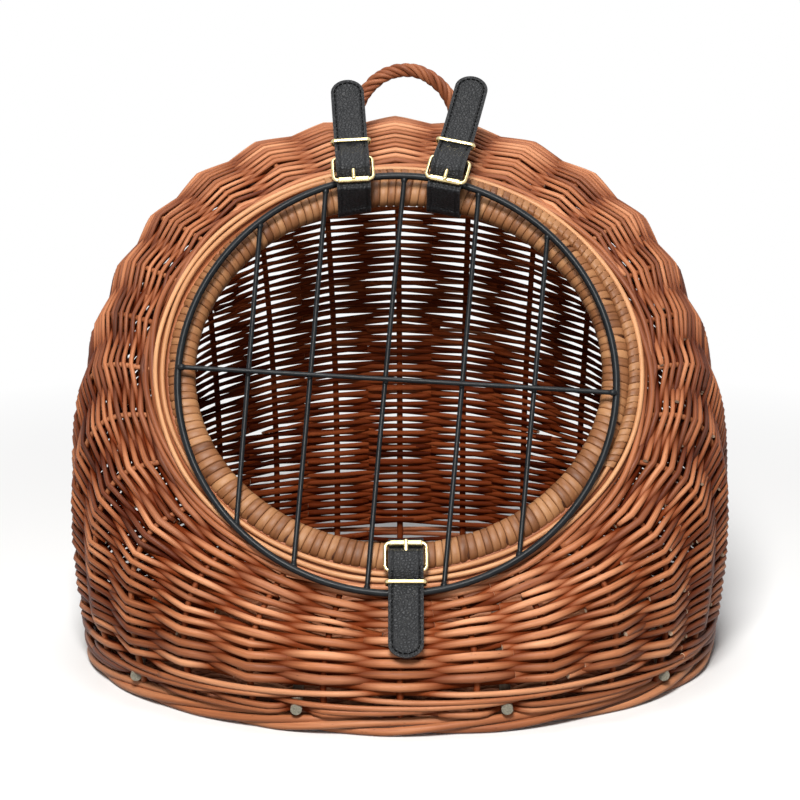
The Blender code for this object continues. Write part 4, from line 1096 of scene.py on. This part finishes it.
def strap_lines(belt):
    """Lines along the strap's width, the distances along it of their points, and its whole length."""
    lines = [smooth_path(belt.knots(STRAP_WIDTH / 2 * share), 6) for share in STRAP_LINE_SHARES]
    length = run_length(np.stack(lines)[1:3].mean(0))
    full = length[-1]
    body = length[length < full - TIP_ROUND]
    tip = full - TIP_ROUND * (1 - np.sin(np.linspace(0, np.pi / 2, 15)[1:]))
    places = np.concatenate((body, np.minimum(tip, full - 0.00005)))
    lines = [points_in(places, length, line) for line in lines]
    return np.stack(lines), places, full


def points_in(places, known, values):
    return np.stack([np.interp(places, known, values[:, axis]) for axis in (0, 1)], -1)


def strap_mesh(belt):
    """The strap's skin with rounded edges and a round tip, its grain and its distance from the edge."""
    lines, places, full = strap_lines(belt)
    round_off = 1 - np.minimum((full - places) / TIP_ROUND, 1)
    narrow = np.sqrt(np.maximum(1 - round_off**2, 0.0004))
    half = STRAP_WIDTH / 2
    steps = np.array(STRAP_EDGE_STEPS)
    columns = np.concatenate((steps - half, (0,), (half - steps)[::-1])) / half
    edge = np.concatenate((steps, (half,), steps[::-1]))
    thin = np.where(edge < STRAP_CORNER, np.sqrt(np.maximum(1 - (1 - edge / STRAP_CORNER) ** 2, 0)), 1)
    thick = STRAP_THICKNESS / 2 * (0.45 + 0.55 * thin)
    tangent = unit(np.gradient(lines[1:3].mean(0), axis=0))
    normal = np.stack((-tangent[:, 1], tangent[:, 0]), -1)
    rows, grains, edges = [], [], []
    for row, place in enumerate(places):
        across = columns * half * narrow[row]
        along, out = (np.interp(across, STRAP_LINE_SHARES * half, lines[:, row, axis]) for axis in (0, 1))
        lift = np.array((0, *normal[row])) * thick[:, None]
        base = points_at(across, along, out)
        rows.append(belt.world(np.concatenate((base + lift, (base - lift)[::-1]))))
        grain = points_at(place, across, 0)
        grains.append(np.concatenate((grain, grain[::-1] + (0, 0, 0.01))))
        from_edge = edge
        if round_off[row] > 0:
            from_edge = np.clip(half - np.hypot(half * round_off[row], across), 0, edge + half)
        edges.append(np.concatenate((from_edge, from_edge[::-1])) / STRAP_EDGE_RANGE)
    faces = ring_faces(len(rows), 2 * len(columns))
    mesh = smooth_mesh(f"{belt.belt['name']}_leather", rows, faces, grains, edge=edges)
    mesh.materials.append(black_leather)
    return mesh, places, lines, normal, full


def ring_faces(rings, count):
    """Faces between rings of as many points each, and one across each end."""
    faces = []
    for ring in range(rings - 1):
        for column in range(count):
            here, beside = ring * count + column, ring * count + (column + 1) % count
            faces.append((here, beside, beside + count, here + count))
    faces.append(tuple(range(count))[::-1])
    faces.append(tuple((rings - 1) * count + column for column in range(count)))
    return faces


def cutter(name, ends, radius, belt):
    """A hidden round punch through the strap, from one point of the belt's frame to another."""
    rods = Rods(name, 20)
    rods.add(belt.world(ends), radius, belt.axes[1], 1.0, 0.5)
    mesh = bpy.data.meshes.new(name)
    mesh.from_pydata(np.concatenate(rods.points).tolist(), [], rods.faces)
    item = bpy.data.objects.new(name, mesh)
    bpy.context.scene.collection.objects.link(item)
    item.hide_render = True
    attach(item, "basket")
    return item


def sew_belt(settings):
    belt = Belt(settings)
    name, spare = settings["name"], settings["spare_hole"]
    mesh, places, lines, normal, full = strap_mesh(belt)
    strap = placed(f"{name}_leather", mesh, "basket", [f"{name}_strap"])
    if spare:
        punch = strap.modifiers.new("Hole", "BOOLEAN")
        punch.object = cutter(f"{name}_punch_0", [(0, spare, 0.0005), (0, spare, 0.0075)], HOLE_RADIUS, belt)
        punch.operation = "DIFFERENCE"
    stitch(belt, places, lines, normal, full)
    buckle(belt)


def stitch(belt, places, lines, normal, full):
    """A row of stitches along both edges of the tail and round its tip."""
    stitches = Rods(f"{belt.belt['name']}_stitches", 6)
    middle = lines[1:3].mean(0)
    start = full - (belt.belt["tail"] - belt.belt["keeper_place"]) - 0.012
    reach = STRAP_WIDTH / 2 - STITCH_INSET
    run = np.arange(start, full - TIP_ROUND, 0.0005)
    left, right = ([(side * reach, along) for along in run] for side in (-1, 1))
    arc = [
        (-reach * math.cos(turn), full - TIP_ROUND + (TIP_ROUND - STITCH_INSET) * math.sin(turn))
        for turn in np.linspace(0, math.pi, 60)
    ]
    track = np.array(left + arc + right[::-1])
    steps = run_length(track)
    lift = STRAP_THICKNESS / 2 + 0.00002 + STITCH_RISE * np.sin(np.linspace(0, np.pi, 6))
    for number in range(int(steps[-1] / STITCH_PITCH)):
        at = number * STITCH_PITCH + np.linspace(0, STITCH_LENGTH, 6)
        across, along = points_in(at, steps, track).T
        line = points_in(along, places, middle) + points_in(along, places, normal) * lift[:, None]
        stitches.add(belt.world(np.column_stack((across, line))), STITCH_HALF)
    stitches.build(black_thread, "basket", "black_leather")


def rounded_rectangle(half_wide, low, high, corner, steps):
    points = []
    for across, along, start in ((1, high, 0), (-1, high, 90), (-1, low, 180), (1, low, 270)):
        centre_x = across * (half_wide - corner)
        centre_y = along - corner if along == high else along + corner
        for step in range(steps + 1):
            angle = math.radians(start + 90 * step / steps)
            points.append((centre_x + corner * math.cos(angle), centre_y + corner * math.sin(angle)))
    return points


def filled(points, step):
    """The closed outline with points added so that none lies further than one step from the next."""
    points = np.array(points)
    whole = []
    for here, there in zip(points, np.roll(points, -1, 0)):
        count = max(1, int(np.linalg.norm(there - here) / step))
        whole += [here + (there - here) * share / count for share in range(count)]
    return np.array(whole)


GOLD_NAMES = {
    "buckle_frame": "frame_wire", "roller": "roller_tube", "prong": "prong_wire", "keeper": "keeper_loop",
}


def gold_piece(belt, piece, sides, path, radius, up, flat, rides_alone, closed=False):
    """One piece of a buckle in its own mesh, which replaces the part's piece of the same name."""
    node = f"{belt.belt['name']}_{piece}"
    rods = Rods(f"{belt.belt['name']}_{GOLD_NAMES[piece]}", sides)
    rods.add(belt.world(path), radius, up, flat, 0.5, closed)
    rods.build(pale_gold, node if rides_alone else "basket", "pale_gold", [node])


def buckle(belt):
    bar_half = STRAP_WIDTH / 2 + BUCKLE_SIDE_ROOM + BUCKLE_WIRE
    outline = rounded_rectangle(bar_half, 0, BUCKLE_LENGTH, BUCKLE_CORNER, 8)
    path = filled([(x, y, 0) for x, y in outline], WIRE_STEP)
    gold_piece(belt, "buckle_frame", 14, path, BUCKLE_WIRE, belt.axes[2], 0.92, False, True)
    bend_roller(belt, bar_half - BUCKLE_CORNER)
    bend_prong(belt)
    bend_keeper(belt)


def bend_roller(belt, half):
    x = np.array((-1, -0.995, -0.97, -0.9, 0, 0.9, 0.97, 0.995, 1)) * half
    thick = ROLLER_RADIUS * np.array((0.82, 0.93, 1, 1, 1, 1, 1, 0.93, 0.82))
    gold_piece(belt, "roller", 28, points_at(x, 0, 0), thick, belt.axes[2], 1.0, True)


def bend_prong(belt):
    """A finger round the frame's bar that runs through the strap and rests on the roller."""
    eye = BUCKLE_WIRE + PRONG_WIRE + EYE_PLAY
    finger = [np.array((0, eye * math.cos(a), eye * math.sin(a))) for a in np.radians(range(-60, 151, 15))]
    rest = ROLLER_RADIUS + PRONG_WIRE + SEAT_GAP
    knots = [
        finger[-1], (0, -PRONG_RISE_AT, rest * 0.8), (0, -PRONG_RISE_AT * 1.7, rest * 1.1),
        (0, -(PRONG_RISE_AT + BUCKLE_LENGTH) / 2, rest * 1.05), (0, -BUCKLE_LENGTH, rest),
        (0, -BUCKLE_LENGTH - PRONG_PAST, rest - PRONG_WIRE / 2),
    ]
    finger += list(smooth_path([np.array(knot, float) for knot in knots], 8)[1:])
    thick = np.full(len(finger), PRONG_WIRE)
    thick[-5:] *= np.array((1.0, 0.98, 0.92, 0.8, 0.55))
    path = np.array(finger) + (0, BUCKLE_LENGTH, 0)
    gold_piece(belt, "prong", 12, path, thick, belt.axes[0], 1.6, True)


def bend_keeper(belt):
    """A flat wire loop round the strap; the latch belt's holds both layers and doesn't slide."""
    place, holds_both = belt.belt["keeper_place"], belt.belt["keeper_holds_both"]
    room = STRAP_THICKNESS / 2 + KEEPER_PLAY + KEEPER_WIRE
    low = (LOWER_LAYER if holds_both else UPPER_LAYER) - room
    half_wide = STRAP_WIDTH / 2 + KEEPER_PLAY + KEEPER_WIRE
    outline = rounded_rectangle(half_wide, low, UPPER_LAYER + room, 2 * KEEPER_WIRE, 6)
    path = filled([(x, place, z) for x, z in outline], WIRE_STEP)
    gold_piece(belt, "keeper", 12, path, KEEPER_WIRE, belt.axes[1], 1.5, not holds_both, True)


weave_wall()
weave_border()
weave_floor()
lay_sticks()
wrap_rim()
lay_edge_rods()
twist_handle()
weld_door()
for settings in BELTS:
    sew_belt(settings)


# Stage, lights and camera
FLOOR_REACH, FLOOR_BELOW = 9, 0.0002
FLOOR_FOR_LIGHT, FLOOR_FOR_CAMERA = (0.22, 0.22, 0.22), (0.94, 0.94, 0.94)
WORLD_COLOUR, WORLD_STRENGTH = (0.92, 0.95, 1.0, 1), 0.06
LAMPS_AIM = Vector((0, 0, 0.18))
LAMPS = (
    ("key", (-0.2, -2.05, 2.15), 0.7, 104, (1.0, 0.985, 0.96)),
    ("fill", (0.1, -2.6, 0.5), 1.0, 11, (0.97, 0.985, 1.0)),
    ("top", (0.0, 0.1, 2.4), 0.8, 17, (1.0, 1.0, 1.0)),
)
CAMERA_LENS, CAMERA_DISTANCE, CAMERA_RISE = 122.17, 1.976, math.radians(13.8686)
CAMERA_AIM = Vector((0, 0, 0.1858))


def seen_plainly(nodes, links):
    """One where the camera, a mirror or clear matter looks at the surface, and zero for plain light."""
    path = nodes.new("ShaderNodeLightPath")
    value = path.outputs["Is Camera Ray"]
    for kind in ("Is Glossy Ray", "Is Transmission Ray"):
        most = nodes.new("ShaderNodeMath")
        most.operation = "MAXIMUM"
        links.new(value, most.inputs[0])
        links.new(path.outputs[kind], most.inputs[1])
        value = most.outputs["Value"]
    return value


def white_floor():
    """A floor that looks white and fades into the white round it, but throws little light back."""
    mesh, reach = bpy.data.meshes.new("floor"), FLOOR_REACH
    corners = [(-reach, -reach, 0), (reach, -reach, 0), (reach, reach, 0), (-reach, reach, 0)]
    mesh.from_pydata(corners, [], [(0, 1, 2, 3)])
    floor = bpy.data.objects.new("stage_floor", mesh)
    bpy.context.scene.collection.objects.link(floor)
    floor.location.z = -FLOOR_BELOW
    look = Look("stage_white", 0.9)
    look.set(Specular_IOR_Level=0.0)
    shown = seen_plainly(look.nodes, look.links)
    look.into(look.mix(shown, FLOOR_FOR_LIGHT, FLOOR_FOR_CAMERA), "Base Color")
    far = look.node("ShaderNodeVectorMath", operation="LENGTH")
    look.join(look.position(), far.inputs[0])
    away = look.ramp(look.math("MULTIPLY", far.outputs["Value"], 0.5), (0.16, 0), (0.45, 1))
    glow = look.node("ShaderNodeEmission")
    fade = look.node("ShaderNodeMixShader")
    look.join(look.math("MULTIPLY", away, shown), fade.inputs["Fac"])
    look.join(look.shader.outputs["BSDF"], fade.inputs[1])
    look.join(glow.outputs["Emission"], fade.inputs[2])
    look.join(fade.outputs["Shader"], look.nodes["Material Output"].inputs["Surface"])
    mesh.materials.append(look.material)


def studio_world():
    world = bpy.data.worlds.new("studio")
    bpy.context.scene.world = world
    world.use_nodes = True
    nodes, links = world.node_tree.nodes, world.node_tree.links
    plain = nodes["Background"]
    plain.inputs["Color"].default_value = WORLD_COLOUR
    plain.inputs["Strength"].default_value = WORLD_STRENGTH
    white = nodes.new("ShaderNodeBackground")
    white.inputs["Color"].default_value = (1, 1, 1, 1)
    mix = nodes.new("ShaderNodeMixShader")
    links.new(seen_plainly(nodes, links), mix.inputs["Fac"])
    links.new(plain.outputs["Background"], mix.inputs[1])
    links.new(white.outputs["Background"], mix.inputs[2])
    links.new(mix.outputs["Shader"], nodes["World Output"].inputs["Surface"])


def aimed(name, data, place, way):
    """A lamp or camera at this place, pointed this way."""
    item = bpy.data.objects.new(name, data)
    bpy.context.scene.collection.objects.link(item)
    item.location = place
    item.rotation_mode = "QUATERNION"
    item.rotation_quaternion = way.to_track_quat("-Z", "Y")
    return item


def hang_lamps():
    for name, place, size, power, colour in LAMPS:
        data = bpy.data.lights.new(name, "AREA")
        data.size, data.energy, data.color = size, power, colour
        aimed(name, data, place, LAMPS_AIM - Vector(place))


def set_camera():
    data = bpy.data.cameras.new("camera")
    data.lens, data.sensor_width = CAMERA_LENS, 36
    back = Vector((0, -math.cos(CAMERA_RISE), math.sin(CAMERA_RISE)))
    bpy.context.scene.camera = aimed("camera", data, CAMERA_AIM + CAMERA_DISTANCE * back, -back)
    bpy.context.scene.view_settings.view_transform = "Standard"


white_floor()
studio_world()
hang_lamps()
set_camera()
